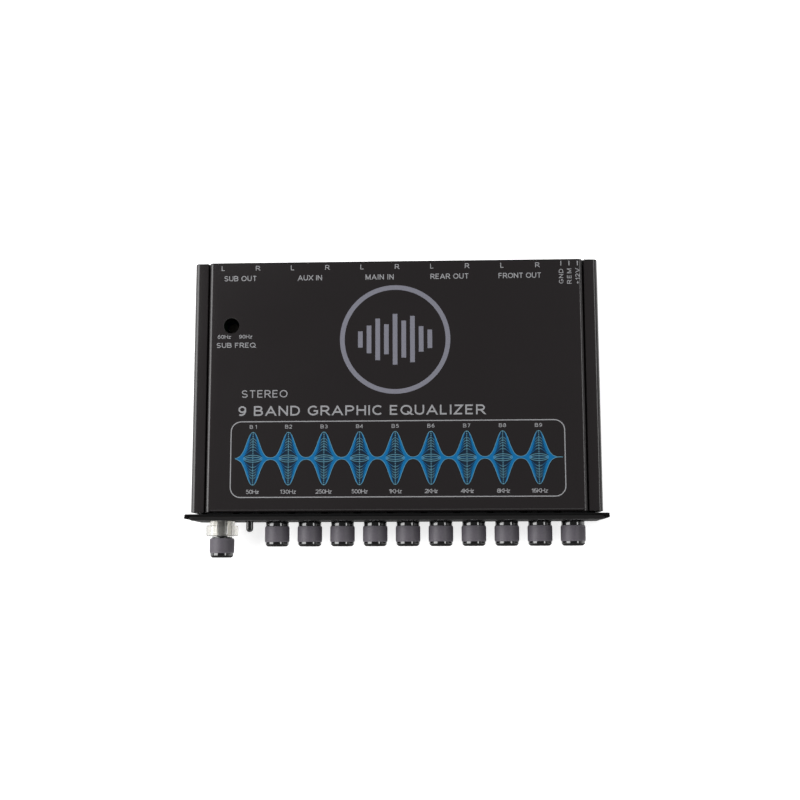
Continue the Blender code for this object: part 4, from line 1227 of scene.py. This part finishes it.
def make_front_print():
    """Dial ticks and short labels round the controls on the bezel's face."""
    grey = Print()
    axis = AXIS_Z / MM
    for name, words in zip(SMALL_CONTROLS, DIAL_LABELS):
        x = CONTROL_X[name] / MM
        for tick in range(11):
            angle = math.radians(240 - 30 * tick)
            arm = Vector((math.cos(angle), math.sin(angle)))
            centre = Vector((x, axis))
            grey.line([centre + arm * 5.75, centre + arm * 6.45], 0.22)
        grey.text(words, (x, 21.7), 1.35 * len(words), 1.6, stretch=1.0)
        grey.text("-", (x - 3.5, 4.3), 0.8, 1.4)
        grey.text("+", (x + 3.5, 4.3), 0.8, 1.4)
    lever_x = middle("selector_lever").x / MM
    grey.text("AUX", (lever_x, 18.6), 4.0, 1.4, stretch=1.0)
    grey.text("MAIN", (lever_x, 6.4), 5.0, 1.4, stretch=1.0)
    grey.text("VOL", (CONTROL_X["volume"] / MM, 21.7), 4.6, 1.6, stretch=1.0)
    upright = Matrix.Rotation(math.pi / 2, 4, "X")
    grey.piece("bezel_labels", PRINT, Matrix.Translation((0, BEZEL_LOW.y, 0)) @ upright)


def make_print():
    make_labels()
    make_curves()
    make_emblem()
    make_front_print()


# ---------------------------------------------------------------- stage

def make_floor():
    """Pale floor that glows like lit paper, more so further out, where it meets the room."""
    shape = bmesh.new()
    bmesh.ops.create_circle(shape, cap_ends=True, segments=96, radius=4.0)
    surface = Surface("pale_floor", (0.7, 0.7, 0.7), 0.8)
    reach = surface.node("VectorMath")
    reach.operation = "LENGTH"
    surface.link(surface.place, reach, 0)
    glow = map_range(surface.tree, reach.outputs["Value"], (0.2, 1.3), (0.7, 1.0))
    surface.link(glow, surface.shader, "Emission Strength")
    surface.set("Emission Color", (1, 1, 1, 1)).set("Specular IOR Level", 0.0)
    finished("floor", shape, surface.material)


def make_light(name, place, size, power, aim=(0, 0, 0)):
    data = bpy.data.lights.new(name, "AREA")
    data.shape = "RECTANGLE"
    data.size, data.size_y = size
    data.energy = power
    lamp = link(name, data)
    lamp.location = place
    lamp.rotation_euler = (Vector(aim) - Vector(place)).to_track_quat("-Z", "Y").to_euler()


def make_world(zenith, horizon):
    """Even room light that fades upwards, as under a dark ceiling between softboxes."""
    world = bpy.data.worlds.new("room")
    world.use_nodes = True
    tree = world.node_tree
    split = tree.nodes.new("ShaderNodeSeparateXYZ")
    tree.links.new(tree.nodes.new("ShaderNodeTexCoord").outputs["Generated"], split.inputs["Vector"])
    background = tree.nodes["Background"]
    background.inputs["Color"].default_value = (1, 1, 1, 1)
    fade = map_range(tree, split.outputs["Z"], (0.08, 0.55), (horizon, zenith))
    tree.links.new(fade, background.inputs["Strength"])
    bpy.context.scene.world = world


def make_studio():
    """Two softboxes at the sides and a weak fill in front, in a pale room."""
    make_light("left_softbox", (-1.0, 0.12, 0.76), (1.6, 0.9), 26)
    make_light("right_softbox", (0.84, 0.12, 0.95), (1.5, 0.26), 7.5)
    make_light("front_fill", (0.1, -1.25, 0.95), (1.2, 0.4), 2)
    make_world(0.12, 1.0)
    bpy.context.scene.view_settings.view_transform = "Standard"


def make_camera():
    """Camera almost straight above the front edge, a little right of the middle."""
    data = bpy.data.cameras.new("camera")
    data.lens = 53.89
    data.sensor_width = 36.0
    camera = link("camera", data)
    camera.location = Vector((21.95, -68.67, 525.44)) * MM
    camera.rotation_euler = Euler([math.radians(turn) for turn in (8.102, 2.296, -0.127)])
    bpy.context.scene.camera = camera


make_camera()
make_floor()
make_studio()
make_tray()
make_cover()
make_plate()
make_bezel()
make_rear_panel()
for control in CONTROLS:
    make_knob(control)
make_light_ring()
make_lever()
make_jacks()
make_power_socket()
make_base_screws()
make_trimmer()
finish_inner_nodes()
make_print()
